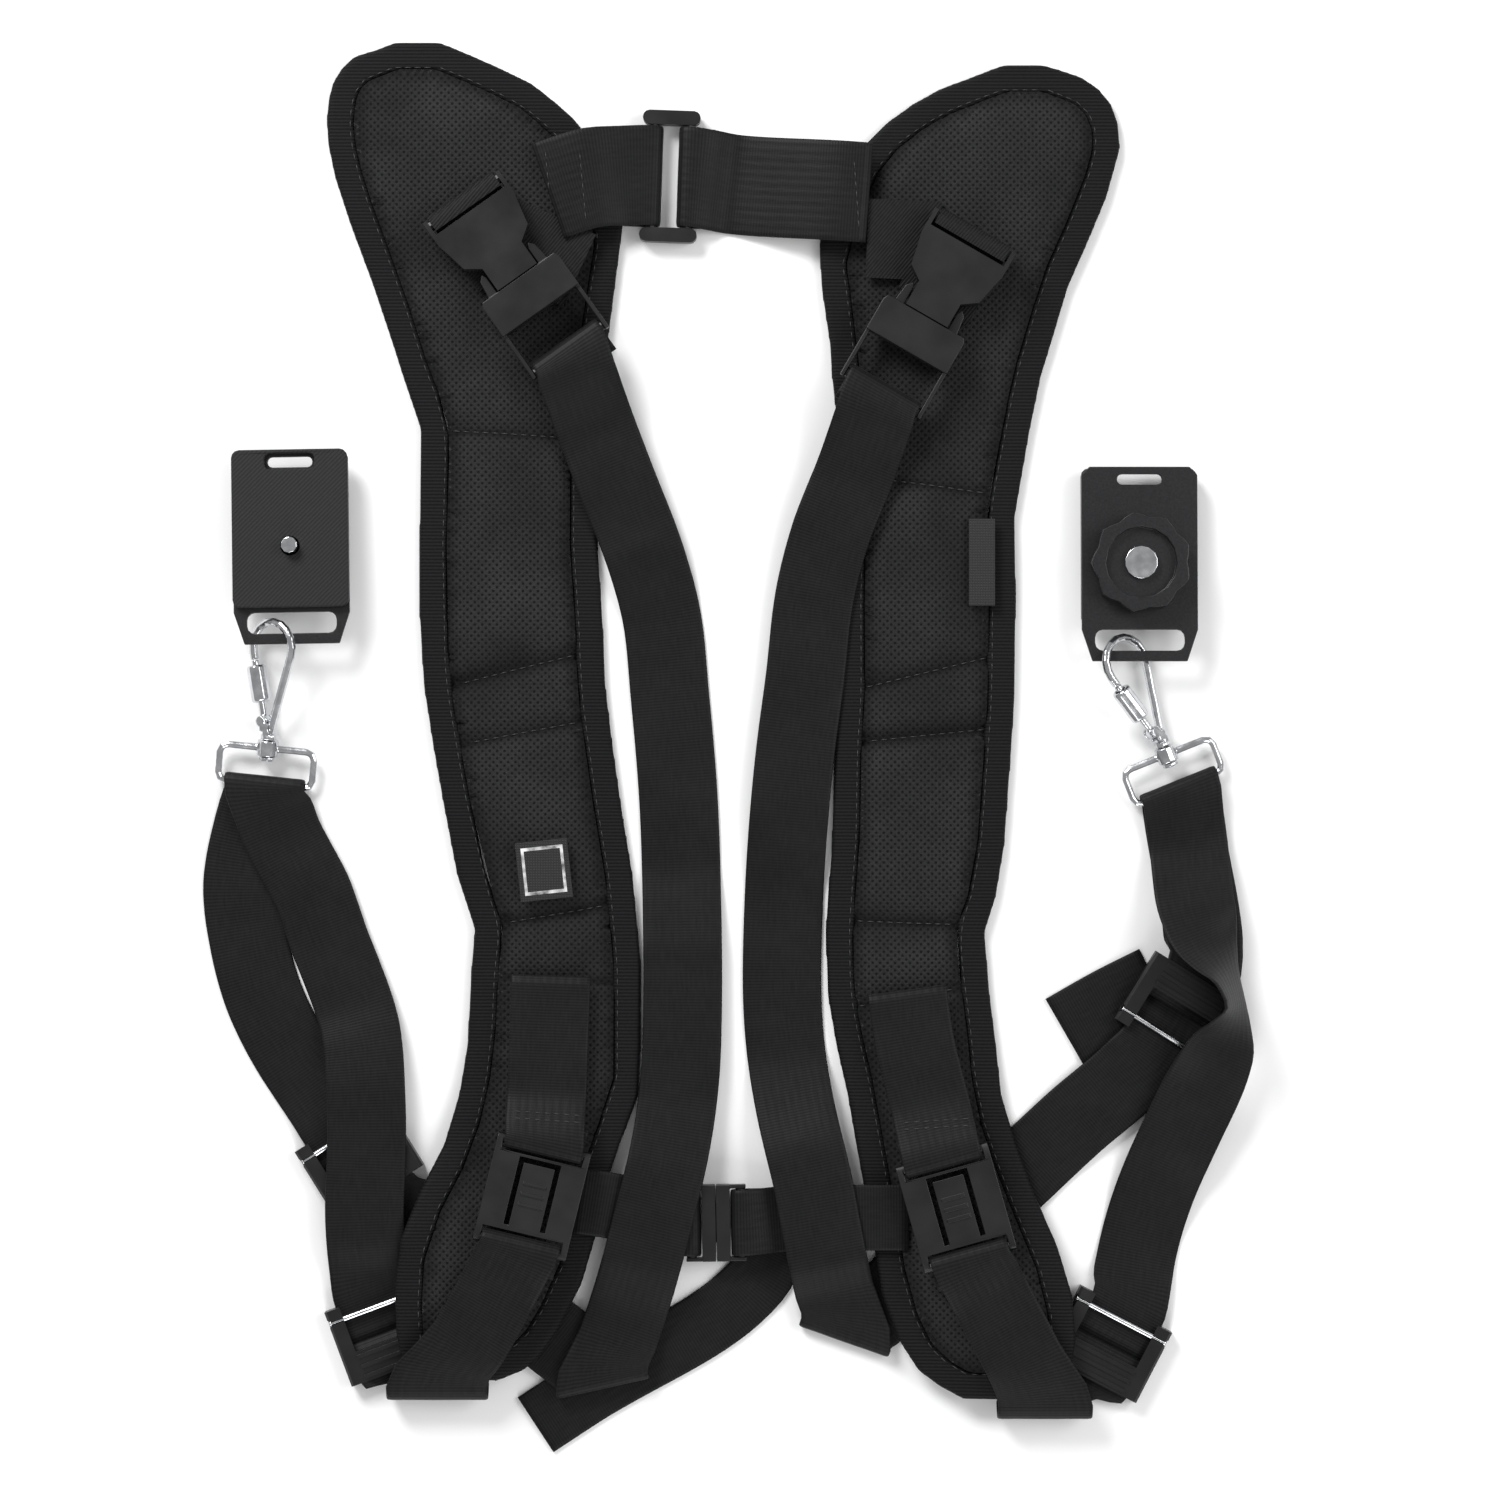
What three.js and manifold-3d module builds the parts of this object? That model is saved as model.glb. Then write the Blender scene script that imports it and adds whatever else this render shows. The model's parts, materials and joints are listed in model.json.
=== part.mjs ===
// Dual camera harness laid flat: two shoulder pads, a cross strap, a chest strap and, on each side, a strap
// that runs round a wire ring with a screw-lock hook and a camera plate.
// Millimetres. +X is the right side as seen from above, +Y points to the shoulders, +Z is up.
import * as THREE from "three";
import { mergeVertices } from "three/addons/utils/BufferGeometryUtils.js";
import Module from "manifold-3d";

const wasm = await Module();
wasm.setup();

// Overall layout
const HARNESS_LENGTH = 534;
const HARNESS_WIDTH = 397;
const GAP = 0.3;

// Pads and their edge tape
const PAD_CROWN = 9;
const PAD_EDGE = 4.5;
const TAPE_WIDTH = 11;
const TAPE_ROUND = 1;
const TAPE_SEAM = 0.9;
const CREASE_DEPTH = 2;
const CREASE_WIDTH = 7;
const PAD_LIFT_HOLD = 0.42;

// Webbing
const WEB_THICKNESS = 1.4;
const WEB_WIDTH = 30;
const CROSS_WIDTH = 38;
const CHEST_WIDTH = 25;
const ROW_SPACING = 10;
const LOOP_RETURN = 10;
const LOOP_SLACK = 0.15;
const ANCHOR_RUN = 30;
const LABEL_THICKNESS = 1;
const EMBLEM_WIDTH = 20;
const LABEL_WIDTH = 10;
const BOTTOM_ROLL = 2.2;

// Strap stoppers
const STOPPER_LENGTH = 30;
const STOPPER_HEIGHT = 7;
const STOPPER_CHEEK = 4.2;
const STOPPER_BASE = 1.6;
const STOPPER_BRIDGE = 12;
const STOPPER_BAR = 2.4;
const STOPPER_RIDGE = 0.8;
const STOPPER_LEAN = 2;

// Shoulder buckles
const BUCKLE_LENGTH = 68;
const BUCKLE_WIDTH = 35;
const BUCKLE_WAIST = 18;
const SOCKET_LENGTH = 35;
const PLUG_BODY = 15;
const PRONG_LENGTH = 9;
const PRONG_WIDTH = 3;
const BUCKLE_THICKNESS = 9;
const BUCKLE_BAR = 4;

// Lower buckles, chest buckle and the slider
const LOWER_BUCKLE_LENGTH = 42;
const LOWER_BUCKLE_WIDTH = 36;
const FLAT_BAR = 4;
const SLIDER_LENGTH = 50;
const SLIDER_WIDTH = 22;
const SLIDER_BAR_SPACING = 13.5;
const CHEST_BUCKLE_LENGTH = 23;
const CHEST_BUCKLE_WIDTH = 29;
const CHEST_BUCKLE_THICKNESS = 6;

// Wire rings, hooks and camera plates
const RING_WIDTH = 39;
const RING_LENGTH = 17;
const RING_WIRE = 3;
const BOSS_DIAMETER = 8;
const BOSS_LENGTH = 6;
const STEM_DIAMETER = 3.2;
const HOOK_LENGTH = 44;
const HOOK_WIDTH = 23;
const HOOK_SHIFT = 2;
const HOOK_WIRE = 3.4;
const HOOK_ROLL = 35;
const GATE_DIAMETER = 3;
const SLEEVE_DIAMETER = 7.5;
const SLEEVE_LENGTH = 14;
const PLATE_LENGTH = 74;
const PLATE_WIDTH = 44;
const PLATE_THICKNESS = 2;
const SLOT_WIDTH = 34;
const SLOT_LENGTH = 8;
const SLOT_MARGIN = 4;
const TAB_LENGTH = 14;
const RUBBER_LENGTH = PLATE_LENGTH - TAB_LENGTH;
const RUBBER_THICKNESS = 3;
const KNOB_DIAMETER = 38;
const KNOB_HEIGHT = 8;
const KNOB_WELL = 27;
const KNOB_SCALLOPS = 9;
const SCREW_DIAMETER = 6.3;
const SCREW_REACH = 4;

// Worked out from the sizes above
const STEP_UP = WEB_THICKNESS + GAP;
const ON_FLOOR = WEB_THICKNESS / 2;
const CHANNEL_HEIGHT = STOPPER_BASE + GAP + WEB_THICKNESS / 2;
const PAD_LIFT = STOPPER_HEIGHT + WEB_THICKNESS + 2 * GAP;
const STOPPER_WIDTH = WEB_WIDTH + 2 * (STOPPER_CHEEK + GAP);
const UP = new THREE.Vector3(0, 0, 1);

// Materials
const FABRIC = { color: 0x1d1d20, roughness: 0.95, metalness: 0 };
const WEBBING = { color: 0x222226, roughness: 0.85, metalness: 0 };
const PLASTIC = { color: 0x2a2a2d, roughness: 0.45, metalness: 0 };
const STEEL = { color: 0xb9bcc0, roughness: 0.2, metalness: 1 };
const RUBBER = { color: 0x2e2e30, roughness: 0.8, metalness: 0 };
const ANODISED = { color: 0x26262a, roughness: 0.5, metalness: 0.6 };

// Places are shares of the harness's width and length, measured from its middle.
function place([x, y]) {
  return new THREE.Vector3(x * HARNESS_WIDTH, y * HARNESS_LENGTH, 0);
}

function direction(from, to) {
  return place(to).sub(place(from)).normalize();
}

const harness = new THREE.Group();

function addMesh(name, geometry, look, parent = harness) {
  const mesh = new THREE.Mesh(geometry, new THREE.MeshStandardMaterial(look));
  mesh.name = name;
  parent.add(mesh);
  return mesh;
}

// Solids from points and triangles

function volumeOf(points, faces) {
  let six = 0;
  for (const [a, b, c] of faces) {
    six += points[a].dot(new THREE.Vector3().crossVectors(points[b], points[c]));
  }
  return six / 6;
}

function solid(points, faces) {
  const outward = volumeOf(points, faces) > 0;
  const index = faces.flatMap(([a, b, c]) => (outward ? [a, b, c] : [a, c, b]));
  const geometry = new THREE.BufferGeometry();
  const flat = points.flatMap((point) => [point.x, point.y, point.z]);
  geometry.setAttribute("position", new THREE.Float32BufferAttribute(flat, 3));
  geometry.setIndex(index);
  return geometry;
}

// A skin through sections that each have the same number of points. An open one gets a cap at each end.
function loft(sections, closed = false) {
  const count = sections[0].length;
  const faces = [];
  const spans = closed ? sections.length : sections.length - 1;
  for (let i = 0; i < spans; i++) {
    const a = i * count;
    const b = ((i + 1) % sections.length) * count;
    for (let j = 0; j < count; j++) {
      const k = (j + 1) % count;
      faces.push([a + j, a + k, b + k], [a + j, b + k, b + j]);
    }
  }
  if (!closed) {
    const end = spans * count;
    for (let j = 1; j < count - 1; j++) {
      faces.push([0, j + 1, j], [end, end + j, end + j + 1]);
    }
  }
  return solid(sections.flat(), faces);
}

function toManifold(geometry, matrix = new THREE.Matrix4()) {
  const bare = geometry.clone().applyMatrix4(matrix);
  bare.deleteAttribute("normal");
  bare.deleteAttribute("uv");
  const merged = mergeVertices(bare, 1e-4);
  return new wasm.Manifold(
    new wasm.Mesh({
      numProp: 3,
      vertProperties: new Float32Array(merged.attributes.position.array),
      triVerts: new Uint32Array(merged.index.array),
    }),
  );
}

function fromManifold(made) {
  const mesh = made.getMesh();
  const geometry = new THREE.BufferGeometry();
  const position = new Float32Array(mesh.numVert * 3);
  for (let i = 0; i < mesh.numVert; i++) {
    position.set(mesh.vertProperties.subarray(i * mesh.numProp, i * mesh.numProp + 3), i * 3);
  }
  geometry.setAttribute("position", new THREE.BufferAttribute(position, 3));
  geometry.setIndex(new THREE.BufferAttribute(mesh.triVerts, 1));
  return geometry;
}

function join(...geometries) {
  return fromManifold(geometries.map((item) => toManifold(item)).reduce((all, next) => all.add(next)));
}

function cut(geometry, ...tools) {
  let made = toManifold(geometry);
  for (const tool of tools) {
    made = made.subtract(toManifold(tool));
  }
  return fromManifold(made);
}

function box(width, length, height, x = 0, y = 0, z = 0) {
  return new THREE.BoxGeometry(width, length, height).translate(x, y, z);
}

// A round rod with its axis along X, Y or Z.
function rod(axis, diameter, length, x = 0, y = 0, z = 0, sides = 8) {
  const geometry = new THREE.CylinderGeometry(diameter / 2, diameter / 2, length, sides);
  if (axis === "x") {
    geometry.rotateZ(Math.PI / 2);
  }
  if (axis === "z") {
    geometry.rotateX(Math.PI / 2);
  }
  return geometry.translate(x, y, z);
}

// A flat outline given by its points, with a thickness about z = 0.
function slab(points, thickness) {
  const shape = new THREE.Shape(points.map(([x, y]) => new THREE.Vector2(x, y)));
  const geometry = new THREE.ExtrudeGeometry(shape, { depth: thickness, bevelEnabled: false });
  return geometry.translate(0, 0, -thickness / 2);
}

// A rectangle with round corners, as a slab.
function roundedSlab(width, length, thickness, radius, x = 0, y = 0, z = 0) {
  const points = [];
  const steps = 3;
  for (let corner = 0; corner < 4; corner++) {
    const cx = (corner === 0 || corner === 3 ? 1 : -1) * (width / 2 - radius);
    const cy = (corner < 2 ? 1 : -1) * (length / 2 - radius);
    for (let i = 0; i <= steps; i++) {
      const angle = ((corner + i / steps) * Math.PI) / 2;
      points.push([cx + radius * Math.cos(angle), cy + radius * Math.sin(angle)]);
    }
  }
  return slab(points, thickness).translate(x, y, z);
}

// Shoulder pads
// Each row: y, x of the outer edge, x of the inner edge, and how far the outer and the inner edge are lifted
// by the straps and the stopper underneath, as shares of PAD_LIFT.
const LEFT_PAD = {
  rows: [
    { y: 0.501, outer: -0.313, inner: -0.27, liftOuter: 0, liftInner: 0 },
    { y: 0.496, outer: -0.33, inner: -0.253, liftOuter: 0, liftInner: 0 },
    { y: 0.491, outer: -0.352, inner: -0.237, liftOuter: 0, liftInner: 0 },
    { y: 0.482, outer: -0.365, inner: -0.21, liftOuter: 0, liftInner: 0 },
    { y: 0.472, outer: -0.373, inner: -0.182, liftOuter: 0, liftInner: 0 },
    { y: 0.461, outer: -0.377, inner: -0.163, liftOuter: 0, liftInner: 0 },
    { y: 0.447, outer: -0.379, inner: -0.141, liftOuter: 0, liftInner: 0 },
    { y: 0.429, outer: -0.378, inner: -0.123, liftOuter: 0, liftInner: 0 },
    { y: 0.404, outer: -0.371, inner: -0.106, liftOuter: 0, liftInner: 0 },
    { y: 0.372, outer: -0.357, inner: -0.093, liftOuter: 0, liftInner: 0 },
    { y: 0.326, outer: -0.334, inner: -0.101, liftOuter: 0, liftInner: 0 },
    { y: 0.286, outer: -0.316, inner: -0.108, liftOuter: 0, liftInner: 0 },
    { y: 0.262, outer: -0.306, inner: -0.113, liftOuter: 0, liftInner: 0 },
    { y: 0.225, outer: -0.289, inner: -0.116, liftOuter: 0, liftInner: 0 },
    { y: 0.148, outer: -0.29, inner: -0.118, liftOuter: 0, liftInner: 0 },
    { y: 0.091, outer: -0.29, inner: -0.113, liftOuter: 0, liftInner: 0 },
    { y: 0.041, outer: -0.286, inner: -0.11, liftOuter: 0, liftInner: 0 },
    { y: -0.002, outer: -0.277, inner: -0.103, liftOuter: 0, liftInner: 0 },
    { y: -0.044, outer: -0.267, inner: -0.095, liftOuter: 0, liftInner: 0 },
    { y: -0.094, outer: -0.254, inner: -0.084, liftOuter: 0, liftInner: 0 },
    { y: -0.133, outer: -0.237, inner: -0.079, liftOuter: 0, liftInner: 0 },
    { y: -0.158, outer: -0.24, inner: -0.076, liftOuter: 0, liftInner: 0 },
    { y: -0.215, outer: -0.244, inner: -0.076, liftOuter: 0, liftInner: 0 },
    { y: -0.251, outer: -0.252, inner: -0.078, liftOuter: 0.12, liftInner: 0.12 },
    { y: -0.286, outer: -0.266, inner: -0.096, liftOuter: 0.3, liftInner: 0.3 },
    { y: -0.319, outer: -0.289, inner: -0.111, liftOuter: 0.7, liftInner: 0.3 },
    { y: -0.351, outer: -0.306, inner: -0.119, liftOuter: 1, liftInner: 0.3 },
    { y: -0.386, outer: -0.312, inner: -0.133, liftOuter: 0.9, liftInner: 0.4 },
    { y: -0.418, outer: -0.311, inner: -0.155, liftOuter: 0.86, liftInner: 0.5 },
    { y: -0.436, outer: -0.306, inner: -0.172, liftOuter: 0.86, liftInner: 0.5 },
    { y: -0.447, outer: -0.296, inner: -0.189, liftOuter: 0.86, liftInner: 0.5 },
    { y: -0.454, outer: -0.279, inner: -0.213, liftOuter: 0.86, liftInner: 0.6 },
  ],
  // Each crease: y at the outer edge, y at the inner edge, depth as a share of CREASE_DEPTH.
  creases: [
    { outer: 0.225, inner: 0.22, depth: 0.5 },
    { outer: 0.046, inner: 0.072, depth: 1 },
    { outer: 0.004, inner: 0.022, depth: 0.7 },
    { outer: -0.128, inner: -0.112, depth: 0.8 },
    { outer: -0.163, inner: -0.168, depth: 0.4 },
  ],
};

const RIGHT_PAD = {
  rows: [
    { y: 0.485, outer: 0.309, inner: 0.272, liftOuter: 0, liftInner: 0 },
    { y: 0.482, outer: 0.323, inner: 0.261, liftOuter: 0, liftInner: 0 },
    { y: 0.476, outer: 0.347, inner: 0.24, liftOuter: 0, liftInner: 0 },
    { y: 0.468, outer: 0.363, inner: 0.211, liftOuter: 0, liftInner: 0 },
    { y: 0.457, outer: 0.375, inner: 0.184, liftOuter: 0, liftInner: 0 },
    { y: 0.443, outer: 0.382, inner: 0.158, liftOuter: 0, liftInner: 0 },
    { y: 0.425, outer: 0.384, inner: 0.134, liftOuter: 0, liftInner: 0 },
    { y: 0.39, outer: 0.371, inner: 0.112, liftOuter: 0, liftInner: 0 },
    { y: 0.358, outer: 0.353, inner: 0.094, liftOuter: 0, liftInner: 0 },
    { y: 0.326, outer: 0.334, inner: 0.096, liftOuter: 0, liftInner: 0 },
    { y: 0.286, outer: 0.318, inner: 0.104, liftOuter: 0, liftInner: 0 },
    { y: 0.262, outer: 0.308, inner: 0.106, liftOuter: 0, liftInner: 0 },
    { y: 0.222, outer: 0.297, inner: 0.112, liftOuter: 0, liftInner: 0 },
    { y: 0.162, outer: 0.283, inner: 0.112, liftOuter: 0, liftInner: 0 },
    { y: 0.105, outer: 0.284, inner: 0.111, liftOuter: 0, liftInner: 0 },
    { y: 0.034, outer: 0.283, inner: 0.111, liftOuter: 0, liftInner: 0 },
    { y: -0.002, outer: 0.28, inner: 0.108, liftOuter: 0, liftInner: 0 },
    { y: -0.073, outer: 0.273, inner: 0.106, liftOuter: 0, liftInner: 0 },
    { y: -0.109, outer: 0.265, inner: 0.102, liftOuter: 0, liftInner: 0 },
    { y: -0.135, outer: 0.254, inner: 0.1, liftOuter: 0, liftInner: 0 },
    { y: -0.18, outer: 0.259, inner: 0.102, liftOuter: 0, liftInner: 0 },
    { y: -0.215, outer: 0.265, inner: 0.11, liftOuter: 0.05, liftInner: 0.05 },
    { y: -0.251, outer: 0.27, inner: 0.121, liftOuter: 0.2, liftInner: 0.2 },
    { y: -0.286, outer: 0.284, inner: 0.129, liftOuter: 0.3, liftInner: 0.3 },
    { y: -0.322, outer: 0.302, inner: 0.138, liftOuter: 0.3, liftInner: 0.3 },
    { y: -0.358, outer: 0.323, inner: 0.146, liftOuter: 0.6, liftInner: 0.35 },
    { y: -0.393, outer: 0.337, inner: 0.154, liftOuter: 0.86, liftInner: 0.5 },
    { y: -0.425, outer: 0.34, inner: 0.17, liftOuter: 0.86, liftInner: 0.5 },
    { y: -0.447, outer: 0.335, inner: 0.189, liftOuter: 0.86, liftInner: 0.5 },
    { y: -0.459, outer: 0.32, inner: 0.211, liftOuter: 0.86, liftInner: 0.5 },
    { y: -0.467, outer: 0.294, inner: 0.232, liftOuter: 0.86, liftInner: 0.6 },
  ],
  creases: [
    { outer: 0.178, inner: 0.195, depth: 0.4 },
    { outer: 0.066, inner: 0.039, depth: 0.6 },
    { outer: 0.014, inner: 0.003, depth: 1 },
    { outer: -0.127, inner: -0.124, depth: 0.8 },
    { outer: -0.168, inner: -0.186, depth: 0.4 },
  ],
};

// The value of one column of a pad's rows at a height y in millimetres, smooth between the rows.
function padColumn(pad, column, y) {
  const rows = pad.rows;
  const share = y / HARNESS_LENGTH;
  if (share >= rows[0].y) {
    return rows[0][column];
  }
  if (share <= rows[rows.length - 1].y) {
    return rows[rows.length - 1][column];
  }
  let i = 0;
  while (rows[i + 1].y > share) {
    i++;
  }
  const slope = (a, b) => (rows[b][column] - rows[a][column]) / (rows[b].y - rows[a].y);
  const span = rows[i + 1].y - rows[i].y;
  const chord = slope(i, i + 1);
  const before = i > 0 ? slope(i - 1, i + 1) : chord;
  const after = i < rows.length - 2 ? slope(i, i + 2) : chord;
  const steep = rows[i].y - rows[i + 1].y < 0.015;
  const t = (share - rows[i].y) / span;
  if (steep || column.startsWith("lift")) {
    return rows[i][column] + chord * span * t;
  }
  const a = rows[i][column] * (2 * t ** 3 - 3 * t ** 2 + 1) + rows[i + 1][column] * (3 * t ** 2 - 2 * t ** 3);
  return a + span * (before * (t ** 3 - 2 * t ** 2 + t) + after * (t ** 3 - t ** 2));
}

// The pad's edges at a height y when its outline is drawn inwards by a distance.
function padEdges(pad, y, inset) {
  const steps = inset > 0 ? 8 : 0;
  const sign = Math.sign(pad.rows[0].outer);
  let outer = -Infinity;
  let inner = Infinity;
  for (let i = -steps; i <= steps; i++) {
    const away = steps ? (inset * i) / steps : 0;
    const reach = Math.sqrt(Math.max(0, inset * inset - away * away));
    outer = Math.max(outer, -sign * padColumn(pad, "outer", y + away) * HARNESS_WIDTH + reach);
    inner = Math.min(inner, -sign * padColumn(pad, "inner", y + away) * HARNESS_WIDTH - reach);
  }
  return { outer: -sign * outer, inner: -sign * inner };
}

function padFloor(pad, x, y) {
  const { outer, inner } = padEdges(pad, y, 0);
  const across = THREE.MathUtils.clamp((x - outer) / (inner - outer), 0, 1);
  const ease = THREE.MathUtils.clamp((across - PAD_LIFT_HOLD) / (1 - PAD_LIFT_HOLD), 0, 1);
  const weight = (1 + Math.cos(Math.PI * ease)) / 2;
  const low = padColumn(pad, "liftInner", y) * PAD_LIFT;
  const high = padColumn(pad, "liftOuter", y) * PAD_LIFT;
  return low + (high - low) * weight;
}

// How much thicker than its edge the pad is at a point, from 0 at the tape to 1 over most of its middle.
function padBulge(pad, x, y) {
  const { outer, inner } = padEdges(pad, y, 0);
  const top = pad.rows[0].y * HARNESS_LENGTH;
  const bottom = pad.rows[pad.rows.length - 1].y * HARNESS_LENGTH;
  const nearest = Math.min(Math.abs(x - outer), Math.abs(inner - x), top - y, y - bottom);
  const run = THREE.MathUtils.clamp((nearest - TAPE_WIDTH) / (2 * TAPE_WIDTH), 0, 1);
  return Math.sin((run * Math.PI) / 2);
}

function padTop(pad, x, y) {
  const top = pad.rows[0].y * HARNESS_LENGTH;
  const bottom = pad.rows[pad.rows.length - 1].y * HARNESS_LENGTH;
  const { outer, inner } = padEdges(pad, y, 0);
  if (y > top || y < bottom || x < Math.min(outer, inner) || x > Math.max(outer, inner)) {
    return 0;
  }
  return padFloor(pad, x, y) + PAD_EDGE + (PAD_CROWN - PAD_EDGE) * padBulge(pad, x, y);
}

function creaseAt(crease, across) {
  return (crease.outer + (crease.inner - crease.outer) * across) * HARNESS_LENGTH;
}

function padDent(pad, across, y) {
  let dent = 0;
  for (const crease of pad.creases) {
    const away = (y - creaseAt(crease, across)) / CREASE_WIDTH;
    dent += crease.depth * CREASE_DEPTH * Math.exp(-away * away * 3);
  }
  return dent;
}

// The lines across the pad: its table's rows, and three lines along each crease.
function padLines(pad) {
  const lines = [];
  for (const crease of pad.creases) {
    for (const offset of [CREASE_WIDTH, 0, -CREASE_WIDTH]) {
      lines.push({ outer: creaseAt(crease, 0) + offset, inner: creaseAt(crease, 1) + offset });
    }
  }
  const clear = (y, line) => {
    const high = Math.max(line.outer, line.inner) + CREASE_WIDTH / 2;
    const low = Math.min(line.outer, line.inner) - CREASE_WIDTH / 2;
    return y > high || y < low;
  };
  for (const row of pad.rows) {
    const y = row.y * HARNESS_LENGTH;
    if (lines.every((line) => clear(y, line))) {
      lines.push({ outer: y, inner: y });
    }
  }
  return lines.sort((a, b) => b.outer + b.inner - a.outer - a.inner);
}

const CORE_TOP = [1, 0.88, 0.5, 0.12, 0];

function padCore(pad) {
  const inset = TAPE_WIDTH + TAPE_SEAM;
  const top = pad.rows[0].y * HARNESS_LENGTH;
  const bottom = pad.rows[pad.rows.length - 1].y * HARNESS_LENGTH;
  const squeeze = (top - bottom - 2 * inset) / (top - bottom);
  const sections = padLines(pad).map((line) => {
    const outerY = top - inset - (top - line.outer) * squeeze;
    const innerY = top - inset - (top - line.inner) * squeeze;
    const outerX = padEdges(pad, outerY, inset).outer;
    const innerX = padEdges(pad, innerY, inset).inner;
    const point = (share) => {
      const x = outerX + (innerX - outerX) * share;
      const y = outerY + (innerY - outerY) * share;
      return { x, y };
    };
    const ring = [];
    for (const share of [0, 0.5, 1]) {
      const { x, y } = point(share);
      ring.push(new THREE.Vector3(x, y, padFloor(pad, x, y)));
    }
    for (const share of CORE_TOP) {
      const { x, y } = point(share);
      const middle = 4 * share * (1 - share);
      const dent = padDent(pad, share, y) * Math.min(1, 0.35 + middle);
      const height = PAD_EDGE + (PAD_CROWN - PAD_EDGE) * padBulge(pad, x, y) - dent;
      ring.push(new THREE.Vector3(x, y, padFloor(pad, x, y) + height));
    }
    return ring;
  });
  return loft(sections);
}

function padTape(pad) {
  const top = pad.rows[0].y * HARNESS_LENGTH;
  const bottom = pad.rows[pad.rows.length - 1].y * HARNESS_LENGTH;
  const squeeze = (top - bottom - 2 * TAPE_WIDTH) / (top - bottom);
  const section = (y, side) => {
    const innerY = top - TAPE_WIDTH - (top - y) * squeeze;
    const out = new THREE.Vector3(padEdges(pad, y, 0)[side], y, 0);
    const back = new THREE.Vector3(padEdges(pad, innerY, TAPE_WIDTH)[side], innerY, 0);
    const inwards = back.clone().sub(out).normalize();
    const points = [
      [out.clone().addScaledVector(inwards, TAPE_ROUND), 0],
      [out, PAD_EDGE / 2],
      [out.clone().addScaledVector(inwards, TAPE_ROUND), PAD_EDGE],
      [back, PAD_EDGE],
      [back, 0],
    ];
    return points.map(([p, height]) => {
      return new THREE.Vector3(p.x, p.y, padFloor(pad, p.x, p.y) + height);
    });
  };
  const heights = pad.rows.map((row) => row.y * HARNESS_LENGTH);
  const sections = [
    ...heights.map((y) => section(y, "outer")),
    ...[...heights].reverse().map((y) => section(y, "inner")),
  ];
  return loft(sections, true);
}

addMesh("left_pad", padCore(LEFT_PAD), FABRIC);
addMesh("left_pad_binding", padTape(LEFT_PAD), WEBBING);
addMesh("right_pad", padCore(RIGHT_PAD), FABRIC);
addMesh("right_pad_binding", padTape(RIGHT_PAD), WEBBING);

// Webbing
// A row of a strap is {left, right, normal, middle}: its two edges, the way its face points and its middle.

const HEIGHT_STEPS = [-1, -0.8, -0.6, -0.4, -0.2, 0, 0.2, 0.4, 0.6, 0.8, 1];
const EDGE_MARGIN = 1;

function sideways(along) {
  return new THREE.Vector3(along.y, -along.x, 0).normalize();
}

function rowAt(middle, along, width, face, roll = 0) {
  const across = sideways(along);
  const tilted = across.clone().multiplyScalar(Math.cos(roll)).addScaledVector(UP, Math.sin(roll));
  const normal = UP.clone().multiplyScalar(Math.cos(roll)).addScaledVector(across, -Math.sin(roll));
  return {
    middle: middle.clone(),
    left: middle.clone().addScaledVector(tilted, (-face * width) / 2),
    right: middle.clone().addScaledVector(tilted, (face * width) / 2),
    normal: normal.multiplyScalar(face),
  };
}

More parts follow.
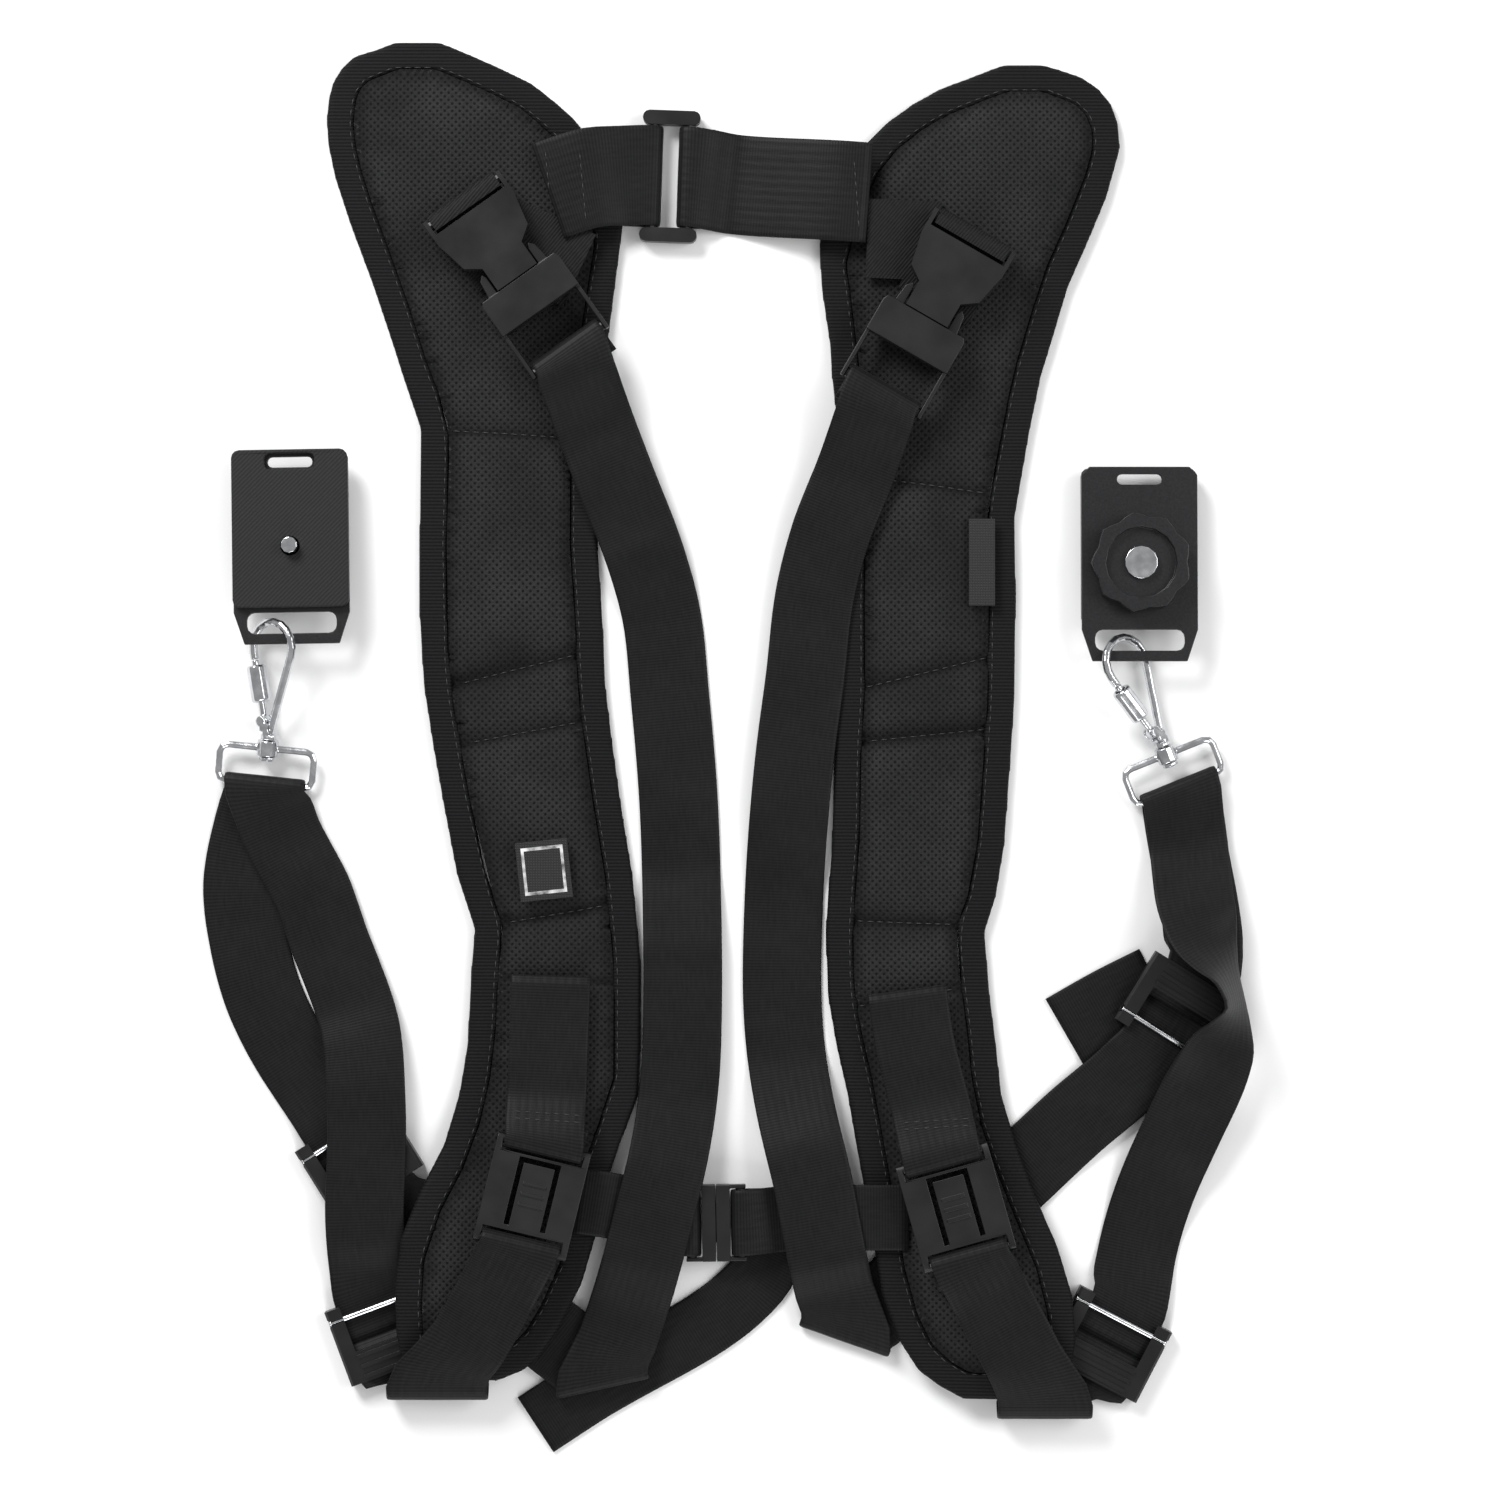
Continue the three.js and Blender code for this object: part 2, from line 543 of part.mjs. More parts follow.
// Rows along a table of points with the columns x, y, rise (share of WEB_WIDTH) and roll (degrees).
// The strap lies on whatever is in the list called over, and starts and ends at given heights.
function layStrap(table, options) {
  const { width = WEB_WIDTH, face = 1, over = [], start, end, hold = 0, blend = 16 } = options;
  const path = new THREE.CatmullRomCurve3(table.map(([x, y]) => place([x, y])));
  const extra = new THREE.CatmullRomCurve3(
    table.map(([, , rise = 0, roll = 0]) => new THREE.Vector3(rise, roll, 0)),
  );
  const spans = table.length - 1;
  const samples = [];
  for (let i = 0; i < spans; i++) {
    const length = place(table[i]).distanceTo(place(table[i + 1]));
    const steps = Math.max(1, Math.round(length / ROW_SPACING));
    for (let j = i === 0 ? 0 : 1; j <= steps; j++) {
      const t = (i + j / steps) / spans;
      samples.push({ point: path.getPoint(t), extra: extra.getPoint(t) });
    }
  }
  const last = samples.length - 1;
  let travelled = 0;
  samples.forEach((sample, i) => {
    const before = samples[Math.max(0, i - 1)].point;
    const after = samples[Math.min(last, i + 1)].point;
    sample.along = after.clone().sub(before).normalize();
    travelled += i ? sample.point.distanceTo(before) : 0;
    sample.travelled = travelled;
    sample.roll = THREE.MathUtils.degToRad(sample.extra.y);
    const half = (width / 2) * Math.cos(sample.roll) + EDGE_MARGIN;
    const across = sideways(sample.along);
    const heights = HEIGHT_STEPS.flatMap((share) => {
      const spot = sample.point.clone().addScaledVector(across, share * half);
      return over.map((surface) => surface(spot.x, spot.y));
    });
    const top = Math.max(0, ...heights);
    sample.ground = (top > 0 ? top + GAP : 0) + WEB_THICKNESS / 2;
  });
  const near = (i, reach) => samples.slice(Math.max(0, i - reach), Math.min(last, i + reach) + 1);
  samples.forEach((sample, i) => {
    sample.high = Math.max(...near(i, 2).map((other) => other.ground));
  });
  samples.forEach((sample, i) => {
    const around = near(i, 1);
    const mean = around.reduce((sum, other) => sum + other.high, 0) / around.length;
    sample.height = Math.max(mean, sample.ground) + Math.max(0, sample.extra.x) * WEB_WIDTH;
  });
  const pin = (sample, height, away) => {
    const ease = THREE.MathUtils.smoothstep(away - hold, 0, blend);
    const blended = height + (sample.height - height) * ease;
    sample.height = away <= hold || height > sample.height ? blended : Math.max(blended, sample.ground);
  };
  samples.forEach((sample) => {
    if (start !== undefined && sample.travelled < hold + blend) {
      pin(sample, start, sample.travelled);
    }
    if (end !== undefined && travelled - sample.travelled < hold + blend) {
      pin(sample, end, travelled - sample.travelled);
    }
  });
  return samples.map((sample) => {
    const middle = sample.point.clone().setZ(sample.height);
    return rowAt(middle, sample.along, width, face, sample.roll);
  });
}

const TURN_STEPS = 6;

// Rows round a fold: the strap arrives one way at one height and leaves another way at another height.
function turn(centre, arriving, leaving, from, to, width, face) {
  const away = arriving.clone().sub(leaving).normalize();
  const crease = new THREE.Vector3(-away.y, away.x, 0);
  const rightSide = Math.sign(crease.dot(sideways(arriving))) * face;
  const half = width / 2 / Math.abs(arriving.dot(away));
  const radius = Math.abs(to - from) / 2;
  const climb = Math.sign(to - from);
  const outside = -climb * face;
  const rows = [];
  for (let i = 0; i <= TURN_STEPS; i++) {
    const angle = (Math.PI * i) / TURN_STEPS;
    const middle = centre.clone().addScaledVector(away, radius * Math.sin(angle));
    middle.z = (from + to) / 2 - climb * radius * Math.cos(angle);
    const normal = away.clone().multiplyScalar(Math.sin(angle)).addScaledVector(UP, -climb * Math.cos(angle));
    rows.push({
      middle,
      left: middle.clone().addScaledVector(crease, -rightSide * half),
      right: middle.clone().addScaledVector(crease, rightSide * half),
      normal: normal.multiplyScalar(outside),
    });
  }
  return rows;
}

function strap(rows, thickness = WEB_THICKNESS) {
  const sections = rows.map(({ left, right, normal }) => [
    left.clone().addScaledVector(normal, thickness / 2),
    right.clone().addScaledVector(normal, thickness / 2),
    right.clone().addScaledVector(normal, -thickness / 2),
    left.clone().addScaledVector(normal, -thickness / 2),
  ]);
  return loft(sections);
}

// The top of a laid strap at a point, or 0 beside it.
function topOf(rows) {
  return (x, y) => {
    let top = 0;
    for (let i = 0; i < rows.length - 1; i++) {
      const a = rows[i];
      const b = rows[i + 1];
      const run = new THREE.Vector3().subVectors(b.middle, a.middle).setZ(0);
      const length = run.length();
      if (length < 0.01) {
        continue;
      }
      run.divideScalar(length);
      const offset = new THREE.Vector3(x - a.middle.x, y - a.middle.y, 0);
      const along = offset.dot(run);
      const across = Math.abs(offset.dot(sideways(run)));
      const half = a.right.clone().sub(a.left).setZ(0).length() / 2 + EDGE_MARGIN;
      if (along > -EDGE_MARGIN && along < length + EDGE_MARGIN && across < half) {
        const rise = Math.max(a.left.z, a.right.z, b.left.z, b.right.z);
        top = Math.max(top, rise + WEB_THICKNESS / 2);
      }
    }
    return top;
  };
}

// The top of a turned rectangle of a given height, or 0 beside it.
function topOfBlock(centre, along, length, width, height) {
  return (x, y) => {
    const offset = new THREE.Vector3(x - centre.x, y - centre.y, 0);
    const inside = Math.abs(offset.dot(along)) < length / 2 + 1 && Math.abs(offset.dot(sideways(along))) < width / 2 + 1;
    return inside ? height : 0;
  };
}

function headingAt(table, i) {
  const last = table.length - 1;
  const a = i === last ? last - 1 : i;
  return direction(table[a], table[a + 1]);
}

// Straps and hardware places of each side, as shares; a yaw turns a piece to the left.
const LEFT = {
  name: "left",
  pad: LEFT_PAD,
  buckle: { bar: [-0.244, 0.383], tip: [-0.141, 0.275] },
  anchorPatch: [[-0.212, 0.362], [-0.17, 0.348], [-0.135, 0.336]],
  front: [
    [-0.12, 0.226], [-0.098, 0.183], [-0.074, 0.137], [-0.057, 0.091], [-0.049, 0.034], [-0.041, -0.037],
    [-0.0375, -0.109], [-0.0365, -0.18], [-0.039, -0.237], [-0.048, -0.286], [-0.063, -0.333],
    [-0.082, -0.386], [-0.099, -0.425], [-0.114, -0.455],
  ],
  foldLayers: 1,
  behind: [[-0.14, -0.436], [-0.179, -0.413], [-0.237, -0.372], [-0.293, -0.337]],
  upperStopper: { place: [-0.347, -0.296], along: [-0.53, 0.85], barEnd: 1, layers: 0 },
  rising: [[-0.38, -0.257], [-0.414, -0.219], [-0.44, -0.18], [-0.455, -0.137], [-0.46, -0.101], [-0.452, -0.066]],
  falling: [
    [-0.42, -0.067], [-0.393, -0.105], [-0.376, -0.141], [-0.359, -0.173], [-0.345, -0.205],
    [-0.34, -0.244], [-0.339, -0.286], [-0.341, -0.333], [-0.338, -0.375],
  ],
  lowerStopper: { place: [-0.321, -0.4195], along: [0.35, -0.94], barEnd: -1, layers: 0 },
  crease: { place: [-0.271, -0.456], leaving: [0.62, 0.78] },
  lower: [[-0.241, -0.425], [-0.221, -0.399]],
  lowerBuckle: { top: [-0.168, -0.286], bottom: [-0.19, -0.354] },
  lowerAnchor: [[-0.162, -0.165], [-0.164, -0.208], [-0.166, -0.251]],
  ring: { place: [-0.438, -0.029], yaw: -6, pitch: 9 },
  hookRoll: -1,
  plate: { acrossShare: -0.15, yaw: 1, pitch: -3, rubberUp: true },
};

const RIGHT = {
  name: "right",
  pad: RIGHT_PAD,
  buckle: { bar: [0.24, 0.359], tip: [0.16, 0.256] },
  anchorPatch: [[0.21, 0.357], [0.17, 0.358], [0.14, 0.359]],
  front: [
    [0.146, 0.23], [0.127, 0.19], [0.106, 0.151], [0.09, 0.105], [0.081, 0.048], [0.071, -0.009],
    [0.064, -0.066], [0.06, -0.123], [0.059, -0.18], [0.063, -0.222], [0.073, -0.265], [0.087, -0.308],
    [0.098, -0.351], [0.109, -0.39], [0.12, -0.422],
  ],
  foldLayers: 0,
  behind: [[0.145, -0.408], [0.179, -0.384], [0.232, -0.346], [0.292, -0.304], [0.345, -0.267], [0.385, -0.242]],
  upperStopper: { place: [0.439, -0.191], along: [0.53, 0.85], barEnd: -1, layers: 1 },
  rising: [[0.464, -0.14], [0.459, -0.112], [0.452, -0.085], [0.446, -0.06]],
  falling: [
    [0.449, -0.073, 0.03, 0], [0.453, -0.109, 0.1, 4], [0.462, -0.137, 0.25, 28],
    [0.48, -0.164, 0.46, 66], [0.488, -0.184, 0.46, 70], [0.48, -0.212, 0.2, 32], [0.459, -0.247, 0.04, 4],
    [0.435, -0.286], [0.414, -0.326], [0.399, -0.368],
  ],
  lowerStopper: { place: [0.372, -0.4285], along: [-0.46, -0.89], barEnd: -1, layers: 0 },
  crease: { place: [0.31, -0.4695], leaving: [-0.55, 0.835] },
  lower: [[0.289, -0.437], [0.268, -0.407]],
  lowerBuckle: { top: [0.211, -0.294], bottom: [0.237, -0.363] },
  lowerAnchor: [[0.178, -0.175], [0.186, -0.215], [0.199, -0.254]],
  ring: { place: [0.4405, -0.032], yaw: 22, pitch: 6 },
  hookRoll: 1,
  plate: { acrossShare: -0.2, yaw: 0, pitch: -2.5, rubberUp: false },
};

const SLIDER = { place: [-0.0488, 0.4042], yaw: -2 };
const CROSS_LEFT = [[-0.165, 0.392], [-0.122, 0.402]];
const CROSS_RIGHT = [[0.142, 0.391], [0.089, 0.394], [0.031, 0.398]];
const CHEST_BUCKLE = { place: [-0.0045, -0.3415], yaw: 1 };
const CHEST_LEFT = [[-0.14, -0.325], [-0.11, -0.328], [-0.074, -0.334]];
const CHEST_RIGHT = [[0.18, -0.337], [0.15, -0.337], [0.117, -0.337], [0.06, -0.339]];
const CHEST_TAIL = [
  [0.052, -0.352], [0.04, -0.378], [0.017, -0.397], [-0.011, -0.413], [-0.042, -0.427], [-0.084, -0.444],
  [-0.122, -0.46], [-0.178, -0.487],
];
const CAMERA_TAIL = [[0.419, -0.172], [0.376, -0.188], [0.331, -0.207]];
const EMBLEM = [[-0.172, -0.069], [-0.169, -0.09], [-0.166, -0.111]];
const SIDE_LABEL = [[0.25, 0.16], [0.25, 0.129], [0.25, 0.098]];

const overPads = [
  (x, y) => padTop(LEFT_PAD, x, y),
  (x, y) => padTop(RIGHT_PAD, x, y),
];

function shareOf(point) {
  return [point.x / HARNESS_WIDTH, point.y / HARNESS_LENGTH];
}

// The distance from a bar's middle to the middle of the webbing round it.
function loopRadius(bar) {
  return bar / 2 + GAP + WEB_THICKNESS / 2 + LOOP_SLACK;
}

// The height of a webbing's middle where it rests, at a point and over its width.
function restingHeight(point, along, width, over) {
  const across = sideways(along);
  const heights = HEIGHT_STEPS.flatMap((share) => {
    const spot = point.clone().addScaledVector(across, share * (width / 2 + EDGE_MARGIN));
    return over.map((surface) => surface(spot.x, spot.y));
  });
  const top = Math.max(0, ...heights);
  return (top > 0 ? top + GAP : 0) + WEB_THICKNESS / 2;
}

// Two runs of rows joined by the rows of a fold; the runs stop where the slanted crease begins.
function foldTogether(before, fold, after, arriving, width) {
  const crease = fold[0].right.clone().sub(fold[0].left).setZ(0).normalize();
  const clear = Math.abs(((width / 2) * arriving.dot(crease)) / arriving.dot(sideways(crease))) + 1.5;
  const away = (row, end) => Math.hypot(row.middle.x - end.middle.x, row.middle.y - end.middle.y) > clear;
  return [
    ...before.filter((row) => away(row, fold[0])),
    ...fold,
    ...after.filter((row) => away(row, fold[fold.length - 1])),
  ];
}

// A strap whose end goes over a bar, round it and a short way back underneath.
function overBar(table, bar, along, width, over, low, high, start) {
  const route = [...table, shareOf(bar)];
  const back = along.clone().negate();
  const rows = layStrap(route, { width, over, start, end: high, hold: 3 });
  const around = turn(bar, along, back, high, low, width, 1);
  const under = bar.clone().addScaledVector(back, LOOP_RETURN);
  under.z = Math.max(low, restingHeight(under, back, width, over));
  return foldTogether(rows, around, [rowAt(under, back, width, -1)], along, width);
}

function vectorOf([x, y]) {
  return new THREE.Vector3(x, y, 0).normalize();
}

function heading(yaw) {
  const angle = THREE.MathUtils.degToRad(yaw);
  return new THREE.Vector3(-Math.sin(angle), Math.cos(angle), 0);
}

// Chest strap: the loose tail lies lowest, then the two pieces that hold the small buckle.
const tailRows = layStrap(CHEST_TAIL, { width: CHEST_WIDTH });
addMesh("chest_strap_tail", strap(tailRows), WEBBING);
const tailTop = topOf(tailRows);
const CHEST_BAR_HEIGHT = STEP_UP + GAP + WEB_THICKNESS / 2 + loopRadius(FLAT_BAR);
const chestMiddle = place(CHEST_BUCKLE.place).setZ(CHEST_BAR_HEIGHT);
const chestAcross = sideways(heading(CHEST_BUCKLE.yaw));
const CHEST_BAR_OFFSET = (CHEST_BUCKLE_LENGTH - FLAT_BAR) / 2;

function chestStrap(table, side) {
  const bar = chestMiddle.clone().addScaledVector(chestAcross, side * CHEST_BAR_OFFSET).setZ(0);
  const radius = loopRadius(FLAT_BAR);
  const over = [...overPads, tailTop];
  const along = chestAcross.clone().multiplyScalar(-side);
  return overBar(table, bar, along, CHEST_WIDTH, over, CHEST_BAR_HEIGHT - radius, CHEST_BAR_HEIGHT + radius);
}

const chestLeftRows = chestStrap(CHEST_LEFT, -1);
const chestRightRows = chestStrap(CHEST_RIGHT, 1);
addMesh("chest_strap_left", strap(chestLeftRows), WEBBING);
addMesh("chest_strap_right", strap(chestRightRows), WEBBING);
const buckleTop = topOfBlock(
  chestMiddle,
  chestAcross,
  CHEST_BUCKLE_LENGTH,
  CHEST_BUCKLE_WIDTH,
  CHEST_BAR_HEIGHT + CHEST_BUCKLE_THICKNESS / 2,
);
const chestTops = [tailTop, topOf(chestLeftRows), topOf(chestRightRows), buckleTop];

// Cross strap, over the patches of the two anchor straps
const patchTops = [];
const CROSS_BAR_HEIGHT = WEB_THICKNESS / 2 + GAP + loopRadius(FLAT_BAR);
const sliderMiddle = place(SLIDER.place);
const sliderAcross = sideways(heading(SLIDER.yaw));

function crossStrap(table, side) {
  const bar = sliderMiddle.clone().addScaledVector(sliderAcross, (side * SLIDER_BAR_SPACING) / 2);
  const radius = loopRadius(FLAT_BAR);
  const over = [...overPads, ...patchTops];
  const along = sliderAcross.clone().multiplyScalar(-side);
  return overBar(table, bar, along, CROSS_WIDTH, over, CROSS_BAR_HEIGHT - radius, CROSS_BAR_HEIGHT + radius);
}

// The loose tail of the right camera strap lies under the stopper and the strap that goes behind the pad.
const cameraTailRows = layStrap(CAMERA_TAIL, {});
addMesh("right_strap_tail", strap(cameraTailRows), WEBBING);
const looseTails = [tailTop, topOf(cameraTailRows)];

// The straps of one side
function stopperPose(stopper) {
  const lift = stopper.layers * (STEP_UP + GAP);
  return { centre: place(stopper.place), along: vectorOf(stopper.along), lift, barEnd: stopper.barEnd };
}

function channelRow(pose, distance, face, backwards = false) {
  const along = backwards ? pose.along.clone().negate() : pose.along;
  const middle = pose.centre.clone().addScaledVector(pose.along, distance).setZ(pose.lift + CHANNEL_HEIGHT);
  return rowAt(middle, along, WEB_WIDTH, face);
}

function buildStraps(side) {
  const radius = loopRadius(BUCKLE_BAR);
  const upper = stopperPose(side.upperStopper);
  const lower = stopperPose(side.lowerStopper);
  const exit = STOPPER_LENGTH / 2 + WEB_WIDTH / 10;
  const edgeOf = (pose, distance) => shareOf(pose.centre.clone().addScaledVector(pose.along, distance));
  const stoppers = [upper, lower].map((pose) => {
    return topOfBlock(pose.centre, pose.along, STOPPER_LENGTH, STOPPER_WIDTH, pose.lift + STOPPER_HEIGHT);
  });

  // Anchor strap of the shoulder buckle, with the flat patch sewn to the pad's inner edge.
  const { bar, along, height } = buckleFrame(side);
  const back = along.clone().negate();
  const inward = bar.clone().addScaledVector(along, ANCHOR_RUN);
  const anchorTable = [shareOf(inward), shareOf(bar.clone().addScaledVector(along, ANCHOR_RUN / 2)), shareOf(bar)];
  const anchorRun = layStrap(anchorTable, { over: overPads, end: height - radius, hold: 2, face: -1 });
  const anchorTurn = turn(bar, back, along, height - radius, height + radius, WEB_WIDTH, -1);
  const hem = bar.clone().addScaledVector(along, BUCKLE_BAR / 2 + 1).setZ(height + radius);
  const anchor = foldTogether(anchorRun, anchorTurn, [rowAt(hem, along, WEB_WIDTH, 1)], back, WEB_WIDTH);
  const patch = layStrap(side.anchorPatch, { over: overPads });
  patchTops.push(topOf(patch));
  addMesh(side.name + "_buckle_anchor", join(strap(anchor), strap(patch)), WEBBING);

  // Front strap: from the plug down to its fold, then behind the pad to the upper stopper.
  const tip = bar.clone().addScaledVector(along, BUCKLE_LENGTH);
  const under = tip.clone().addScaledVector(along, LOOP_RETURN).setZ(height - radius);
  const topTurn = turn(tip, back, along, height - radius, height + radius, WEB_WIDTH, -1);
  const low = side.foldLayers * (STEP_UP + GAP) + ON_FLOOR;
  const high = low + 2 * BOTTOM_ROLL;
  const frontTable = [shareOf(tip), ...side.front];
  const front = layStrap(frontTable, {
    over: [...overPads, ...chestTops],
    start: height + radius,
    end: high,
    hold: 8,
    blend: 22,
  });
  const foldPlace = side.front[side.front.length - 1];
  const behindTable = [foldPlace, ...side.behind, edgeOf(upper, -exit)];
  const arriving = headingAt(side.front, side.front.length - 1);
  const leaving = headingAt(behindTable, 0);
  const bottomTurn = turn(place(foldPlace), arriving, leaving, high, low, WEB_WIDTH, 1);
  const behind = layStrap(behindTable, {
    over: looseTails,
    start: low,
    end: upper.lift + CHANNEL_HEIGHT,
    hold: 7,
    face: -1,
  });
  const sewn = foldTogether([rowAt(under, back, WEB_WIDTH, -1)], topTurn, front, back, WEB_WIDTH);
  const folded = foldTogether(sewn, bottomTurn, behind.slice(0, -1), arriving, WEB_WIDTH);
  const frontRows = [...folded, channelRow(upper, -exit, -1), channelRow(upper, -GAP, -1)];
  addMesh(side.name + "_front_strap", strap(frontRows), WEBBING);

  // Camera strap: from the upper stopper round the ring's bar to the lower stopper.
  const ringBar = place(side.ring.place);
  const ringHeading = heading(side.ring.yaw);
  const risingTable = [edgeOf(upper, exit), ...side.rising, shareOf(ringBar)];
  const rising = layStrap(risingTable, { start: upper.lift + CHANNEL_HEIGHT, end: ON_FLOOR, face: -1 });
  const up = headingAt(risingTable, risingTable.length - 1);
  const down = up.clone().addScaledVector(ringHeading, -2 * up.dot(ringHeading));
  const ringTop = ON_FLOOR + 2 * loopRadius(RING_WIRE);
  const ringTurn = turn(ringBar, up, down, ON_FLOOR, ringTop, WEB_WIDTH, -1);
  const fallingTable = [shareOf(ringBar), ...side.falling, edgeOf(lower, -exit)];
  const frontTop = topOf([...behind, channelRow(upper, -exit, -1)]);
  const falling = layStrap(fallingTable, {
    over: [topOf(rising), frontTop, ...stoppers.slice(0, 1)],
    start: ringTop,
    end: CHANNEL_HEIGHT,
    blend: 22,
  });
  const cameraRows = [
    channelRow(upper, GAP, -1),
    channelRow(upper, exit, -1),
    ...foldTogether(rising.slice(1), ringTurn, falling.slice(0, -1), up, WEB_WIDTH),
    channelRow(lower, -exit, 1),
    channelRow(lower, -GAP, 1),
  ];
  addMesh(side.name + "_camera_strap", strap(cameraRows), WEBBING);

  // Lower strap: from the lower stopper round a crease and over the pad to the lower buckle.
  const crease = place(side.crease.place);
  const leavingCrease = vectorOf(side.crease.leaving);
  const arrivingCrease = new THREE.Vector3(leavingCrease.x, -leavingCrease.y, 0);
  const lastRow = side.pad.rows[side.pad.rows.length - 1];
  const creaseTop = lastRow.liftOuter * PAD_LIFT + PAD_EDGE + GAP + WEB_THICKNESS / 2;
  const creaseTurn = turn(crease, arrivingCrease, leavingCrease, CHANNEL_HEIGHT, creaseTop, WEB_WIDTH, -1);
  const buckle = lowerBuckleFrame(side);
  const flatRadius = loopRadius(FLAT_BAR);
  const upwards = buckle.top.clone().sub(buckle.bottom).setZ(0).normalize();
  const lowerRun = overBar(
    [side.crease.place, ...side.lower],
    buckle.bottom.clone().setZ(0),
    upwards,
    WEB_WIDTH,
    overPads,
    buckle.bottom.z - flatRadius,
    buckle.bottom.z + flatRadius,
    creaseTop,
  );
  const channel = [channelRow(lower, GAP, -1), channelRow(lower, exit, -1)];
  const lowerRows = [...channel, ...foldTogether([], creaseTurn, lowerRun, leavingCrease, WEB_WIDTH)];
  addMesh(side.name + "_lower_strap", strap(lowerRows), WEBBING);

  // Lower anchor strap, from the pad's face round the buckle's top bar.
  const anchorRows = overBar(
    side.lowerAnchor,
    buckle.top.clone().setZ(0),
    upwards.clone().negate(),
    WEB_WIDTH,
    overPads,
    buckle.top.z - flatRadius,
    buckle.top.z + flatRadius,
  );
  addMesh(side.name + "_lower_anchor", strap(anchorRows), WEBBING);
}

// The shoulder buckle's bar, direction and the height of its middle plane.
function buckleFrame(side) {
  const bar = place(side.buckle.bar);
  const along = direction(side.buckle.bar, side.buckle.tip);
  let top = 0;
  for (let i = 0; i <= 6; i++) {
    const spot = bar.clone().addScaledVector(along, (BUCKLE_LENGTH * i) / 6);
    top = Math.max(top, restingHeight(spot, along, BUCKLE_WIDTH, overPads) + WEB_THICKNESS / 2);
  }
  return { bar, along, height: top + GAP + BUCKLE_THICKNESS / 2 };
}

// The two bars of the lower buckle, each above the webbing that lies under it.
function lowerBuckleFrame(side) {
  const along = direction(side.lowerBuckle.top, side.lowerBuckle.bottom);
  const middle = place(side.lowerBuckle.top).add(place(side.lowerBuckle.bottom)).multiplyScalar(0.5);
  const spacing = LOWER_BUCKLE_LENGTH - FLAT_BAR;
  const bars = [-1, 1].map((end) => {
    const bar = middle.clone().addScaledVector(along, (end * spacing) / 2);
    return bar.setZ(restingHeight(bar, along, LOWER_BUCKLE_WIDTH, overPads) + GAP + loopRadius(FLAT_BAR));
  });
  return { top: bars[0], bottom: bars[1] };
}

for (const side of [LEFT, RIGHT]) {
  buildStraps(side);
}
addMesh("cross_strap_left", strap(crossStrap(CROSS_LEFT, -1)), WEBBING);
addMesh("cross_strap_right", strap(crossStrap(CROSS_RIGHT, 1)), WEBBING);

// The patch and the label
addMesh("emblem_patch", strap(layStrap(EMBLEM, { width: EMBLEM_WIDTH, over: overPads }), LABEL_THICKNESS), FABRIC);
addMesh("side_label", strap(layStrap(SIDE_LABEL, { width: LABEL_WIDTH, over: overPads }), LABEL_THICKNESS), FABRIC);

// A group at a point, with its own +Y turned to a direction.
function frameAt(centre, along, height) {
  const group = new THREE.Group();
  group.position.set(centre.x, centre.y, height);
  group.rotation.z = Math.atan2(-along.x, along.y);
  harness.add(group);
  return group;
}

// Strap stoppers: a channel with cheeks that lean over the strap, a ridged bridge and a steel bar.
function addStopper(name, pose) {
  const frame = frameAt(pose.centre, pose.along, pose.lift);
  const half = STOPPER_WIDTH / 2;
  const inner = WEB_WIDTH / 2 + GAP;
  const roof = STOPPER_BASE + WEB_THICKNESS + 2 * GAP;
  const top = STOPPER_HEIGHT - STOPPER_RIDGE;
  const side = [[half, 0], [half, top - 1], [half - 1, top], [inner - STOPPER_LEAN, top], [inner, roof], [inner, STOPPER_BASE]];
  const mirrored = side.map(([x, z]) => [-x, z]).reverse();
  const channel = slab([...side, ...mirrored], STOPPER_LENGTH).rotateX(Math.PI / 2);
  const bridgeY = (-pose.barEnd * (STOPPER_LENGTH - STOPPER_BRIDGE)) / 2;
  const bridge = box(2 * inner, STOPPER_BRIDGE, top - roof, 0, bridgeY, (top + roof) / 2);
  const ridges = [0, 1, 2].map((i) => {
    const y = bridgeY - pose.barEnd * (STOPPER_BRIDGE / 3) * (i - 1);
    return box(2 * inner - 4, 1.4, 2 * STOPPER_RIDGE, 0, y, top);
  });
  const barY = pose.barEnd * (STOPPER_LENGTH / 2 - 2 * STOPPER_BAR);
  const barZ = roof + STOPPER_BAR / 2;
  const bore = rod("x", STOPPER_BAR + 3 * GAP, STOPPER_WIDTH + 2, 0, barY, barZ);
  addMesh(name, cut(join(channel, bridge, ...ridges), bore), PLASTIC, frame);
  addMesh(name + "_bar", rod("x", STOPPER_BAR, STOPPER_WIDTH - 1, 0, barY, barZ), STEEL, frame);
}

